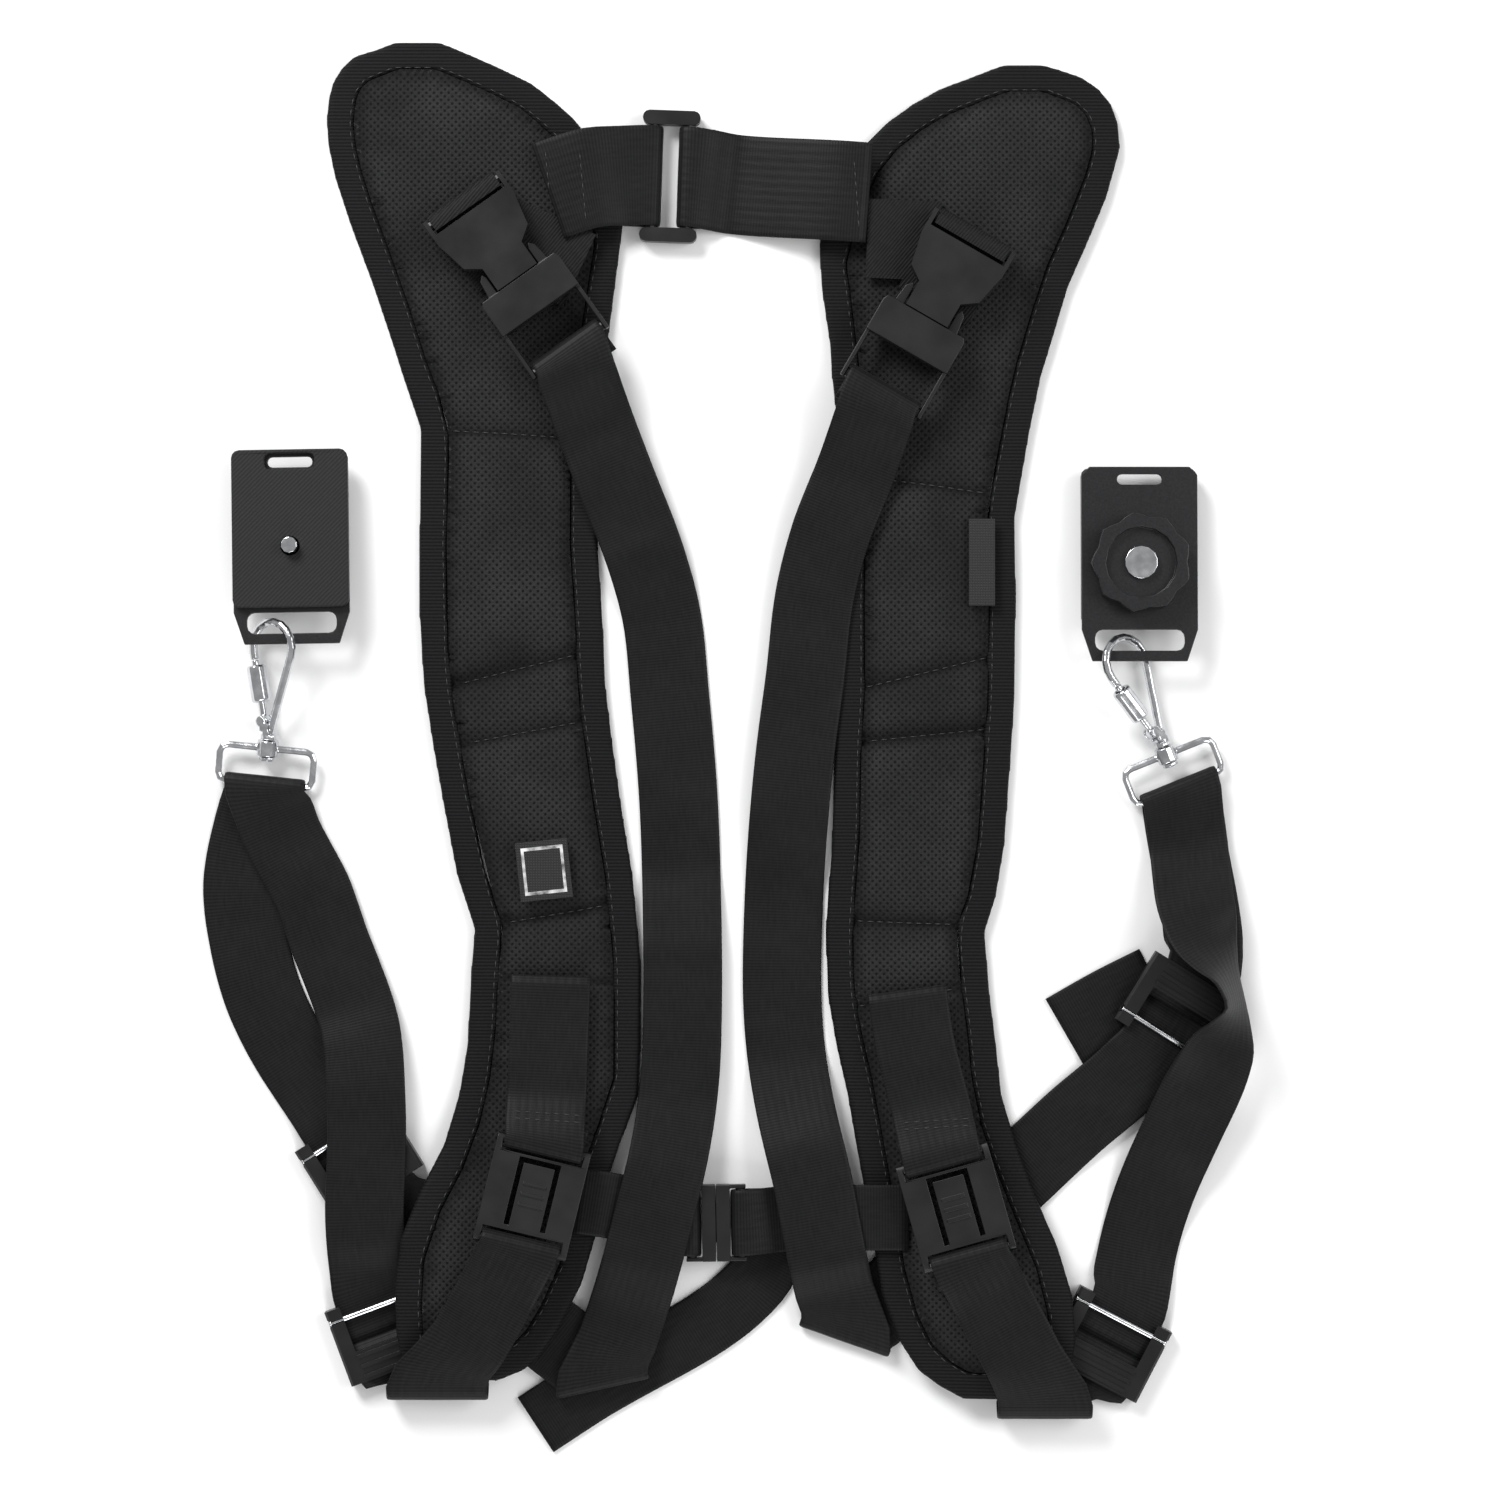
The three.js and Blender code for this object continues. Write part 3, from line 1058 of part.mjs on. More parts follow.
// Shoulder buckle: the socket on the anchor strap, and the plug with two side prongs on the front strap.
function addShoulderBuckle(side) {
  const { bar: barPlace, along, height } = buckleFrame(side);
  const frame = frameAt(barPlace, along, height);
  const half = BUCKLE_WIDTH / 2;
  const waist = BUCKLE_WAIST / 2;
  const inner = WEB_WIDTH / 2 + 3 * GAP;
  const end = BUCKLE_BAR / 2;
  const slotEnd = loopRadius(BUCKLE_BAR) + WEB_THICKNESS / 2 + 2 * GAP;
  const neck = SOCKET_LENGTH - PRONG_LENGTH - 1;
  const flank = [
    [half, -end], [half, slotEnd + 4], [half - 1, slotEnd + 8], [(half + waist) / 2 + 1.5, neck - 4], [waist, neck],
    [waist, SOCKET_LENGTH],
  ];
  const outline = [...flank, ...flank.map(([x, y]) => [-x, y]).reverse()];
  const slotLength = slotEnd + end + 1;
  const slot = box(2 * inner, slotLength, BUCKLE_THICKNESS + 2, 0, slotEnd - slotLength / 2, 0);
  const recessDepth = (BUCKLE_THICKNESS - BUCKLE_BAR) / 2;
  const recess = box(2 * inner, 22, recessDepth + 1, 0, 9, -(BUCKLE_BAR + recessDepth + 1) / 2);
  const bar = rod("x", BUCKLE_BAR, 2 * half, 0, 0, 0);
  const tongueWidth = waist;
  const tongueThick = BUCKLE_THICKNESS / 3;
  const mouth = box(tongueWidth + 2 * GAP, 16, tongueThick + 2 * GAP, 0, SOCKET_LENGTH - 8 + 1, 0);
  addMesh(side.name + "_top_buckle_socket", join(cut(slab(outline, BUCKLE_THICKNESS), slot, recess, mouth), bar), PLASTIC, frame);

  const plugStart = SOCKET_LENGTH + GAP;
  const plugEnd = plugStart + PLUG_BODY;
  const body = slab(
    [[half - 1, plugStart], [half, plugStart + 2], [half, plugEnd], [-half, plugEnd], [-half, plugStart + 2], [1 - half, plugStart]],
    BUCKLE_THICKNESS - 1,
  );
  const rails = [-1, 1].map((sign) => {
    const x = (sign * (half + inner)) / 2;
    const length = BUCKLE_LENGTH + end - plugEnd + 2;
    return box(half - inner, length, BUCKLE_BAR + 1, x, BUCKLE_LENGTH + end - length / 2, 0);
  });
  const endBar = rod("x", BUCKLE_BAR, 2 * half, 0, BUCKLE_LENGTH, 0);
  const tongue = box(tongueWidth, 14, tongueThick, 0, plugStart - 7 + 1, 0);
  const prongs = [-1, 1].map((sign) => {
    const near = waist + 2 * GAP;
    const points = [
      [near, plugStart + 1], [near, plugStart - PRONG_LENGTH + 2], [near + 1, plugStart - PRONG_LENGTH],
      [near + PRONG_WIDTH, plugStart - PRONG_LENGTH + 2], [near + PRONG_WIDTH + 1, plugStart + 1],
    ];
    return slab(points.map(([x, y]) => [sign * x, y]), BUCKLE_THICKNESS / 2);
  });
  addMesh(side.name + "_top_buckle_plug", join(body, ...rails, endBar, tongue, ...prongs), PLASTIC, frame);
}

// A group whose +Y runs from one point to another in space.
function frameBetween(from, to) {
  const middle = from.clone().add(to).multiplyScalar(0.5);
  const along = to.clone().sub(from);
  const frame = frameAt(middle, along, middle.z);
  frame.rotation.order = "ZXY";
  frame.rotation.x = Math.atan2(along.z, Math.hypot(along.x, along.y));
  return frame;
}

// Lower buckle: a flat frame with a slot at each end and a tongue in the middle.
function addLowerBuckle(side) {
  const { top, bottom } = lowerBuckleFrame(side);
  const frame = frameBetween(bottom, top);
  const inner = WEB_WIDTH / 2 + 2 * GAP;
  const slotEnd = loopRadius(FLAT_BAR) + WEB_THICKNESS / 2 + 2 * GAP;
  const bar = (LOWER_BUCKLE_LENGTH - FLAT_BAR) / 2;
  const half = LOWER_BUCKLE_WIDTH / 2;
  const blank = box(2 * half, 2 * (bar - slotEnd), FLAT_BAR);
  const rails = [-1, 1].map((sign) => box(half - inner, 2 * bar, FLAT_BAR, (sign * (half + inner)) / 2, 0, 0));
  const bars = [-1, 1].map((sign) => rod("x", FLAT_BAR, 2 * half, 0, sign * bar, 0));
  const tongueHalf = LOWER_BUCKLE_WIDTH / 6;
  const cutHalf = bar - slotEnd - 2;
  const sides = [-1, 1].map((sign) => box(2, 2 * cutHalf, FLAT_BAR + 2, sign * (tongueHalf + 1), 0, 0));
  const topCut = box(2 * tongueHalf + 4, 2, FLAT_BAR + 2, 0, cutHalf, 0);
  const ridges = [-1, 0, 1].map((i) => box(2 * tongueHalf - 3, 1.2, 1.2, 0, i * 4, FLAT_BAR / 2));
  addMesh(side.name + "_lower_buckle", join(cut(blank, ...sides, topCut), ...rails, ...bars, ...ridges), PLASTIC, frame);
}

function addSlider() {
  const frame = frameAt(sliderMiddle, heading(SLIDER.yaw), CROSS_BAR_HEIGHT);
  const oval = (SLIDER_LENGTH - CROSS_WIDTH - 4 * GAP) / 2;
  const offset = (SLIDER_LENGTH - oval) / 2;
  const ends = [-1, 1].map((sign) => {
    return roundedSlab(SLIDER_WIDTH, oval, FLAT_BAR + 1, oval / 2 - 0.1, 0, sign * offset, 0);
  });
  const bars = [-1, 1].map((sign) => rod("y", FLAT_BAR, 2 * offset, (sign * SLIDER_BAR_SPACING) / 2, 0, 0));
  addMesh("cross_strap_slider", join(...ends, ...bars), PLASTIC, frame);
}

function addChestBuckle() {
  const frame = frameAt(chestMiddle, heading(CHEST_BUCKLE.yaw), CHEST_BAR_HEIGHT);
  const half = CHEST_BUCKLE_WIDTH / 2;
  const inner = CHEST_WIDTH / 2 + 2 * GAP;
  const clear = CHEST_BAR_OFFSET - loopRadius(FLAT_BAR) - WEB_THICKNESS / 2 - GAP;
  const part = (sign, start) => {
    const body = box(clear - start, 2 * half, CHEST_BUCKLE_THICKNESS, (sign * (clear + start)) / 2, 0, 0);
    const length = CHEST_BAR_OFFSET + FLAT_BAR / 2 - clear + 1;
    const x = sign * (CHEST_BAR_OFFSET + FLAT_BAR / 2 - length / 2);
    const rails = [-1, 1].map((end) => box(length, half - inner, FLAT_BAR, x, (end * (half + inner)) / 2, 0));
    const bar = rod("y", FLAT_BAR, 2 * half, sign * CHEST_BAR_OFFSET, 0, 0);
    return join(body, ...rails, bar);
  };
  const tongueLength = 2 * clear - 2;
  const tongue = box(tongueLength, half, CHEST_BUCKLE_THICKNESS / 3, clear - tongueLength / 2 - 0.5, 0, 0);
  const mouth = box(tongueLength + 4, half + 2 * GAP, CHEST_BUCKLE_THICKNESS / 3 + 2 * GAP, clear - tongueLength / 2, 0, 0);
  addMesh("chest_buckle_socket", cut(part(-1, GAP / 2), mouth), PLASTIC, frame);
  addMesh("chest_buckle_plug", join(part(1, GAP / 2), tongue), PLASTIC, frame);
}

// A round wire along a flat path.
function wire(path, diameter, closed, sides = 6) {
  const last = path.length - 1;
  const sections = path.map(([x, y], i) => {
    const before = closed ? path[(i + last) % (last + 1)] : path[Math.max(0, i - 1)];
    const after = closed ? path[(i + 1) % (last + 1)] : path[Math.min(last, i + 1)];
    const along = new THREE.Vector3(after[0] - before[0], after[1] - before[1], 0).normalize();
    const across = sideways(along);
    const ring = [];
    for (let j = 0; j < sides; j++) {
      const angle = (2 * Math.PI * (j + 0.5)) / sides;
      const point = new THREE.Vector3(x, y, (diameter / 2) * Math.sin(angle));
      ring.push(point.addScaledVector(across, (diameter / 2) * Math.cos(angle)));
    }
    return ring;
  });
  return loft(sections, closed);
}

// Points of an arc, from one angle to another in degrees.
function arc(cx, cy, radius, from, to, steps) {
  const points = [];
  for (let i = 0; i <= steps; i++) {
    const angle = THREE.MathUtils.degToRad(from + ((to - from) * i) / steps);
    points.push([cx + radius * Math.cos(angle), cy + radius * Math.sin(angle)]);
  }
  return points;
}

// Ring, hook and camera plate of one side
function addRing(side) {
  const frame = new THREE.Group();
  frame.position.copy(place(side.ring.place)).setZ(ON_FLOOR + loopRadius(RING_WIRE));
  const { degToRad } = THREE.MathUtils;
  frame.rotation.set(degToRad(side.ring.pitch), 0, degToRad(side.ring.yaw), "ZXY");
  harness.add(frame);
  const corner = RING_WIRE;
  const x = (RING_WIDTH - RING_WIRE) / 2 - corner;
  const far = RING_LENGTH - RING_WIRE;
  const path = [
    ...arc(x, corner, corner, -90, 0, 2),
    ...arc(x, far - corner, corner, 0, 90, 2),
    ...arc(-x, far - corner, corner, 90, 180, 2),
    ...arc(-x, corner, corner, 180, 270, 2),
  ];
  const boss = rod("y", BOSS_DIAMETER, BOSS_LENGTH, 0, far, 0, 12);
  const bore = rod("y", STEM_DIAMETER + 3 * GAP, BOSS_LENGTH + 2, 0, far, 0, 12);
  addMesh(side.name + "_ring", cut(join(wire(path, RING_WIRE, true), boss), bore), STEEL, frame);
  const hook = new THREE.Group();
  hook.position.y = far;
  hook.rotation.y = side.hookRoll * degToRad(HOOK_ROLL);
  frame.add(hook);
  return hook;
}

// Where a straight line from a point touches a circle, on the side given by the sign.
function tangentPoint(from, centre, radius, sign) {
  const dx = centre[0] - from[0];
  const dy = centre[1] - from[1];
  const away = Math.hypot(dx, dy);
  const angle = Math.atan2(dy, dx) + sign * Math.asin(radius / away);
  const reach = Math.sqrt(away * away - radius * radius);
  return [from[0] + reach * Math.cos(angle), from[1] + reach * Math.sin(angle)];
}

function hookShape() {
  const radius = (HOOK_WIDTH - HOOK_WIRE) / 2;
  const vertex = BOSS_LENGTH / 2 + 3;
  const centre = [-HOOK_SHIFT, vertex + HOOK_LENGTH - HOOK_WIRE / 2 - radius];
  const knuckle = [-HOOK_SHIFT - 0.6, vertex + 4];
  const legFoot = [0.8, vertex + 1];
  const right = tangentPoint(legFoot, centre, radius, -1);
  const left = tangentPoint(knuckle, centre, radius, 1);
  const gateLine = Math.atan2(left[1] - knuckle[1], left[0] - knuckle[0]);
  const gateReach = Math.hypot(left[1] - knuckle[1], left[0] - knuckle[0]);
  return { radius, vertex, centre, knuckle, legFoot, right, left, gateLine, gateReach };
}

function addHook(side, frame) {
  const shape = hookShape();
  const { degToRad, radToDeg } = THREE.MathUtils;
  const from = radToDeg(Math.atan2(shape.right[1] - shape.centre[1], shape.right[0] - shape.centre[0]));
  const to = radToDeg(Math.atan2(shape.left[1] - shape.centre[1], shape.left[0] - shape.centre[0]));
  const bow = arc(shape.centre[0], shape.centre[1], shape.radius, from, to < 0 ? to + 360 : to, 10);
  const noseLength = 3;
  const back = [
    shape.left[0] - noseLength * Math.cos(shape.gateLine),
    shape.left[1] - noseLength * Math.sin(shape.gateLine),
  ];
  const wireFoot = [0, BOSS_LENGTH / 2 + GAP + 0.5];
  const body = wire([wireFoot, shape.legFoot, ...bow, back], HOOK_WIRE, false);
  const stemLow = -BOSS_LENGTH / 2 - GAP - 1.5;
  const stem = rod("y", STEM_DIAMETER, shape.vertex - stemLow, 0, (shape.vertex + stemLow) / 2, 0);
  const head = rod("y", BOSS_DIAMETER - 2, 1.5, 0, stemLow + 0.75, 0);
  const collar = rod("y", BOSS_DIAMETER - 2, 2, 0, BOSS_LENGTH / 2 + GAP + 1, 0);
  const earDiameter = 4.6;
  const earDepth = 1.2;
  const knuckleDepth = GATE_DIAMETER;
  const ears = [-1, 1].map((sign) => {
    const z = sign * (knuckleDepth / 2 + GAP + earDepth / 2);
    const disc = rod("z", earDiameter, earDepth, shape.knuckle[0], shape.knuckle[1], z);
    const web = box(4, 3.4, earDepth, shape.knuckle[0] + 2, shape.knuckle[1] - 2, z);
    return join(disc, web);
  });
  const bridge = box(2.6, 2.2, knuckleDepth + 2 * GAP + 2 * earDepth, shape.legFoot[0] - 0.4, shape.vertex, 0);
  const pin = rod("z", 1.4, knuckleDepth + 2 * GAP + earDepth, shape.knuckle[0], shape.knuckle[1], 0);
  addMesh(side.name + "_hook", join(body, stem, head, collar, ...ears, bridge, pin), STEEL, frame);

  const gate = new THREE.Group();
  gate.position.set(shape.knuckle[0], shape.knuckle[1], 0);
  gate.rotation.z = shape.gateLine - Math.PI / 2;
  frame.add(gate);
  const gateLength = shape.gateReach - noseLength - GAP;
  const root = cut(rod("z", earDiameter, knuckleDepth), rod("z", 1.4 + 3 * GAP, knuckleDepth + 2));
  const shaft = rod("y", GATE_DIAMETER, gateLength - 1.6, 0, (gateLength + 1.6) / 2, 0);
  addMesh(side.name + "_gate", join(root, shaft), STEEL, gate);
  const sleeveBore = HOOK_WIRE + 3 * GAP;
  const sleeveMiddle = gateLength - SLEEVE_LENGTH / 2 - 2;
  const half = SLEEVE_LENGTH / 2;
  const outer = SLEEVE_DIAMETER / 2;
  const profile = [
    [sleeveBore / 2, -half], [outer - 0.5, -half], [outer, 0.7 - half], [outer, half - 0.7], [outer - 0.5, half],
    [sleeveBore / 2, half], [sleeveBore / 2, -half],
  ];
  const sleeve = new THREE.LatheGeometry(profile.map(([x, y]) => new THREE.Vector2(x, y)), 12);
  addMesh(side.name + "_gate_sleeve", sleeve.translate(0, sleeveMiddle, 0), STEEL, gate);
}

// Camera plate: the hook's bow goes through its slot at the near end.
function addPlate(side, hookFrame) {
  const shape = hookShape();
  const crossing = new THREE.Vector3(shape.centre[0], shape.centre[1] + shape.radius, 0);
  harness.updateMatrixWorld(true);
  hookFrame.localToWorld(crossing);
  const { degToRad } = THREE.MathUtils;
  const turned = new THREE.Group();
  turned.position.copy(crossing);
  turned.rotation.set(degToRad(side.plate.pitch), 0, degToRad(side.plate.yaw), "ZXY");
  harness.add(turned);
  const frame = new THREE.Group();
  const slotY = SLOT_MARGIN + SLOT_LENGTH / 2 - PLATE_LENGTH / 2;
  frame.position.set(-side.plate.acrossShare * PLATE_WIDTH, -slotY - 0.5, 0);
  frame.rotation.y = side.plate.rubberUp ? 0 : Math.PI;
  turned.add(frame);

  const screwBore = rod("z", SCREW_DIAMETER + 1, 20, 0, 0, 0, 14);
  const slot = roundedSlab(SLOT_WIDTH, SLOT_LENGTH, PLATE_THICKNESS + 2, 3, 0, slotY, 0);
  const topSlot = roundedSlab(SLOT_WIDTH / 2, SLOT_MARGIN, PLATE_THICKNESS + 2, 1.9, 0, PLATE_LENGTH / 2 - 1.2 * SLOT_MARGIN, 0);
  const tab = PLATE_WIDTH / 2 - 4;
  const outline = [
    [tab, -PLATE_LENGTH / 2], [PLATE_WIDTH / 2, SLOT_LENGTH + SLOT_MARGIN - PLATE_LENGTH / 2],
    [PLATE_WIDTH / 2, PLATE_LENGTH / 2 - 3], [PLATE_WIDTH / 2 - 3, PLATE_LENGTH / 2],
  ];
  const plate = slab([...outline, ...outline.map(([x, y]) => [-x, y]).reverse()], PLATE_THICKNESS);
  addMesh(side.name + "_plate", cut(plate, slot, topSlot, screwBore), ANODISED, frame);

  const rubberY = (PLATE_LENGTH - RUBBER_LENGTH) / 2 - 0.3;
  const rubberZ = PLATE_THICKNESS / 2 + GAP + RUBBER_THICKNESS / 2;
  const rubber = roundedSlab(PLATE_WIDTH, RUBBER_LENGTH, RUBBER_THICKNESS, 3, 0, rubberY, rubberZ);
  const rubberSlot = roundedSlab(SLOT_WIDTH / 2 + 2, SLOT_MARGIN + 2, RUBBER_THICKNESS * 3, 2, 0, PLATE_LENGTH / 2 - 1.2 * SLOT_MARGIN, rubberZ);
  addMesh(side.name + "_plate_rubber", cut(rubber, screwBore, rubberSlot), RUBBER, frame);

  const points = [];
  const steps = KNOB_SCALLOPS * 4;
  for (let i = 0; i < steps; i++) {
    const angle = (2 * Math.PI * i) / steps;
    const radius = KNOB_DIAMETER / 2 - 0.9 + 0.9 * Math.cos(KNOB_SCALLOPS * angle);
    points.push([radius * Math.cos(angle), radius * Math.sin(angle)]);
  }
  const knobZ = -PLATE_THICKNESS / 2 - GAP - KNOB_HEIGHT / 2;
  const well = rod("z", KNOB_WELL, KNOB_HEIGHT, 0, 0, knobZ - KNOB_HEIGHT / 2 - 1, 16);
  const shaftBore = rod("z", SCREW_DIAMETER + 2 * GAP, 3 * KNOB_HEIGHT, 0, 0, knobZ, 14);
  addMesh(side.name + "_knob", cut(slab(points, KNOB_HEIGHT).translate(0, 0, knobZ), well, shaftBore), ANODISED, frame);

  const wellFloor = knobZ - 1;
  const headHeight = 2;
  const headZ = wellFloor - GAP - headHeight / 2;
  const tipZ = rubberZ + RUBBER_THICKNESS / 2 + SCREW_REACH;
  const screwHead = rod("z", 2 * SCREW_DIAMETER, headHeight, 0, 0, headZ, 14);
  const shaft = rod("z", SCREW_DIAMETER, tipZ - headZ, 0, 0, (tipZ + headZ) / 2, 10);
  addMesh(side.name + "_camera_screw", join(screwHead, shaft), STEEL, frame);
}

for (const side of [LEFT, RIGHT]) {
  addStopper(side.name + "_upper_stopper", stopperPose(side.upperStopper));
  addStopper(side.name + "_lower_stopper", stopperPose(side.lowerStopper));
  addShoulderBuckle(side);
  addLowerBuckle(side);
  const hookFrame = addRing(side);
  addHook(side, hookFrame);
  addPlate(side, hookFrame);
}
addSlider();
addChestBuckle();

// The origin is the middle of the underside of the whole.
const whole = new THREE.Box3().setFromObject(harness, true);
const shift = new THREE.Vector3((whole.min.x + whole.max.x) / 2, (whole.min.y + whole.max.y) / 2, whole.min.z);
for (const child of harness.children) {
  child.position.sub(shift);
}

export default harness;
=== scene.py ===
import json
import math

import bmesh
import bpy
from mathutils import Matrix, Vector, bvhtree, noise


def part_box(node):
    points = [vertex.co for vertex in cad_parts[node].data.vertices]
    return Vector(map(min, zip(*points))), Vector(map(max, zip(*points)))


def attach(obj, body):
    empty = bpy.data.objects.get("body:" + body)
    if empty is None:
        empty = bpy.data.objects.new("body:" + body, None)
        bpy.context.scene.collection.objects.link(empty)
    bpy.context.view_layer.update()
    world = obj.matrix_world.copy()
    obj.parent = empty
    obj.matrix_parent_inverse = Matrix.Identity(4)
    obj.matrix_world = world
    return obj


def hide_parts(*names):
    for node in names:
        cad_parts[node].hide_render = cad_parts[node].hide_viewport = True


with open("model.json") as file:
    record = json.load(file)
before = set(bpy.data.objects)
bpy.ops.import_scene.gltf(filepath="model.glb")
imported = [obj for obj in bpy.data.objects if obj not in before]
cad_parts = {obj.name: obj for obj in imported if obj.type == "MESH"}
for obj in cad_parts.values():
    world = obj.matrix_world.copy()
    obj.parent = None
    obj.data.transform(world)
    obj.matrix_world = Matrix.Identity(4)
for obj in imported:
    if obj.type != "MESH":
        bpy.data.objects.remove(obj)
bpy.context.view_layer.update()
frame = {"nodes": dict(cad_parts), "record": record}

# Camera, floor and light.
# The harness lies on a white surface and is looked at from straight above.
# Large soft lamps and a pale surround give the dark cloth its grey sheen.
METRES_ACROSS = 0.57
CAMERA_HEIGHT = 1.6
VIEW_CENTRE = (0.0085, -0.001)
SENSOR = 36
PAD_TOP_HEIGHT = 0.008
FLOOR_SIZE = 6
FLOOR_BELOW = 0.0002
SURROUND_STRENGTH = 0.42
bpy.ops.object.select_all(action="DESELECT")
bpy.ops.object.camera_add(location=(VIEW_CENTRE[0], VIEW_CENTRE[1], CAMERA_HEIGHT))
camera = bpy.context.object
camera.name = "overhead_camera"
camera.data.sensor_width = SENSOR
camera.data.lens = SENSOR * (CAMERA_HEIGHT - PAD_TOP_HEIGHT) / METRES_ACROSS
bpy.context.scene.camera = camera

bpy.ops.mesh.primitive_plane_add(size=FLOOR_SIZE, location=(0, 0, -FLOOR_BELOW))
floor = bpy.context.object
floor.name = "white_surface"
floor_look = bpy.data.materials.new("white_surface")
floor_look.use_nodes = True
floor_shader = floor_look.node_tree.nodes["Principled BSDF"]
floor_shader.inputs["Base Color"].default_value = (0.93, 0.93, 0.93, 1)
floor_shader.inputs["Roughness"].default_value = 0.9
floor.data.materials.append(floor_look)

# Each lamp: its name, place, width and power.
LAMPS = [
    ("key_lamp", (-0.8, 1.2, 1.1), 0.7, 30),
    ("fill_lamp", (1.3, 0.3, 1.2), 1.0, 14),
    ("low_lamp", (0.1, -1.5, 0.8), 0.8, 9),
]
for lamp_name, place, size, power in LAMPS:
    bpy.ops.object.light_add(type="AREA", location=place)
    lamp = bpy.context.object
    lamp.name = lamp_name
    lamp.data.size = size
    lamp.data.energy = power
    lamp.rotation_euler = (-Vector(place)).to_track_quat("-Z", "Y").to_euler()
surround = bpy.data.worlds.new("pale_room")
surround.use_nodes = True
surround.node_tree.nodes["Background"].inputs["Color"].default_value = (1, 1, 1, 1)
surround.node_tree.nodes["Background"].inputs["Strength"].default_value = SURROUND_STRENGTH
bpy.context.scene.world = surround
bpy.context.scene.view_settings.view_transform = "Standard"

# Webbing straps.
# Flat nylon webbing, 1.4 mm thick: fine crosswise ribs, a rounded woven edge and a slight sheen.
# Each strap follows the rows of its CAD solid from end to end.
SAME_POINT = 2e-6
CAP_DIAGONAL = 0.0138
WEBBING_HALF = 0.00066
WEBBING_SWELL = 0.00004
SWELL_PITCH = 55
STEPS_A_ROW = 3
RIB_PITCH = 0.0011
CORD_PITCH = 0.0032
body_of_node = {}
for body_name, members in frame["record"]["behaviour"]["bodies"].items():
    for member in members:
        body_of_node[member] = body_name


def merged_copy(node):
    bpy.ops.object.select_all(action="DESELECT")
    mesh = frame["nodes"][node].data.copy()
    mesh.materials.clear()
    shape = bmesh.new()
    shape.from_mesh(mesh)
    bmesh.ops.remove_doubles(shape, verts=shape.verts, dist=SAME_POINT)
    shape.to_mesh(mesh)
    shape.free()
    copy = bpy.data.objects.new(node + "_made", mesh)
    bpy.context.scene.collection.objects.link(copy)
    bpy.context.view_layer.objects.active = copy
    copy.select_set(True)
    return copy


def dress(piece, node, material):
    piece.data.materials.clear()
    piece.data.materials.append(material)
    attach(piece, body_of_node[node])
    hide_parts(node)


def rows_from(first):
    seen = set(first)
    rows = [list(first)]
    while rows[-1]:
        following = []
        for vertex in rows[-1]:
            for edge in vertex.link_edges:
                other = edge.other_vert(vertex)
                if other not in seen:
                    seen.add(other)
                    following.append(other)
        if len(following) not in (0, 4):
            return None
        rows.append(following)
    return rows[:-1]


def strap_rows(node):
    copy = merged_copy(node)
    shape = bmesh.new()
    shape.from_mesh(copy.data)
    found = None
    for edge in shape.edges:
        if len(edge.link_faces) == 2 and found is None:
            end = set(edge.link_faces[0].verts) | set(edge.link_faces[1].verts)
            flat = edge.link_faces[0].normal.dot(edge.link_faces[1].normal) > 0.999
            if flat and edge.calc_length() > CAP_DIAGONAL:
                found = rows_from(sorted(end, key=lambda vertex: tuple(vertex.co)))
    points = [[vertex.co.copy() for vertex in row] for row in found]
    shape.free()
    bpy.data.objects.remove(copy)
    ordered = [sorted_ring(points[0])]
    across = ordered[0]
    if (across[0] - across[1]).length < (across[1] - across[2]).length:
        ordered = [[across[1], across[2], across[3], across[0]]]
    for row in points[1:]:
        last = ordered[-1]
        ring = sorted_ring(row)
        ways = []
        for shift in range(4):
            for way in (1, -1):
                turned = [ring[(shift + way * i) % 4] for i in range(4)]
                ways.append((sum((a - b).length_squared for a, b in zip(turned, last)), turned))
        ordered.append(min(ways, key=lambda pair: pair[0])[1])
    return ordered


def sorted_ring(row):
    first = row[0]
    others = sorted(row[1:], key=lambda p: (p - first).length)
    return [first, others[0], others[2], others[1]]


def smooth_run(points, steps):
    made = []
    gaps = [max((b - a).length, 1e-7) for a, b in zip(points, points[1:])]
    slopes = []
    for i, point in enumerate(points):
        if i == 0:
            slopes.append((points[1] - point) / gaps[0])
        elif i == len(points) - 1:
            slopes.append((point - points[-2]) / gaps[-1])
        else:
            before = (point - points[i - 1]) / gaps[i - 1]
            after = (points[i + 1] - point) / gaps[i]
            slopes.append((before * gaps[i] + after * gaps[i - 1]) / (gaps[i] + gaps[i - 1]))
    for i, gap in enumerate(gaps):
        for j in range(steps):
            t = j / steps
            a = 2 * t ** 3 - 3 * t ** 2 + 1
            b = t ** 3 - 2 * t ** 2 + t
            c = -2 * t ** 3 + 3 * t ** 2
            d = t ** 3 - t ** 2
            start = points[i] * a + slopes[i] * (b * gap)
            end = points[i + 1] * c + slopes[i + 1] * (d * gap)
            made.append(start + end)
    made.append(points[-1].copy())
    return made


# The webbing's section: places across it, from edge to edge, and the share of its thickness there.
SECTION = [-1, -0.975, -0.9, -0.6, -0.2, 0.2, 0.6, 0.9, 0.975, 1]
SECTION_HALF = [0.3, 0.75, 0.98, 0.92, 1.0, 1.0, 0.92, 0.98, 0.75, 0.3]


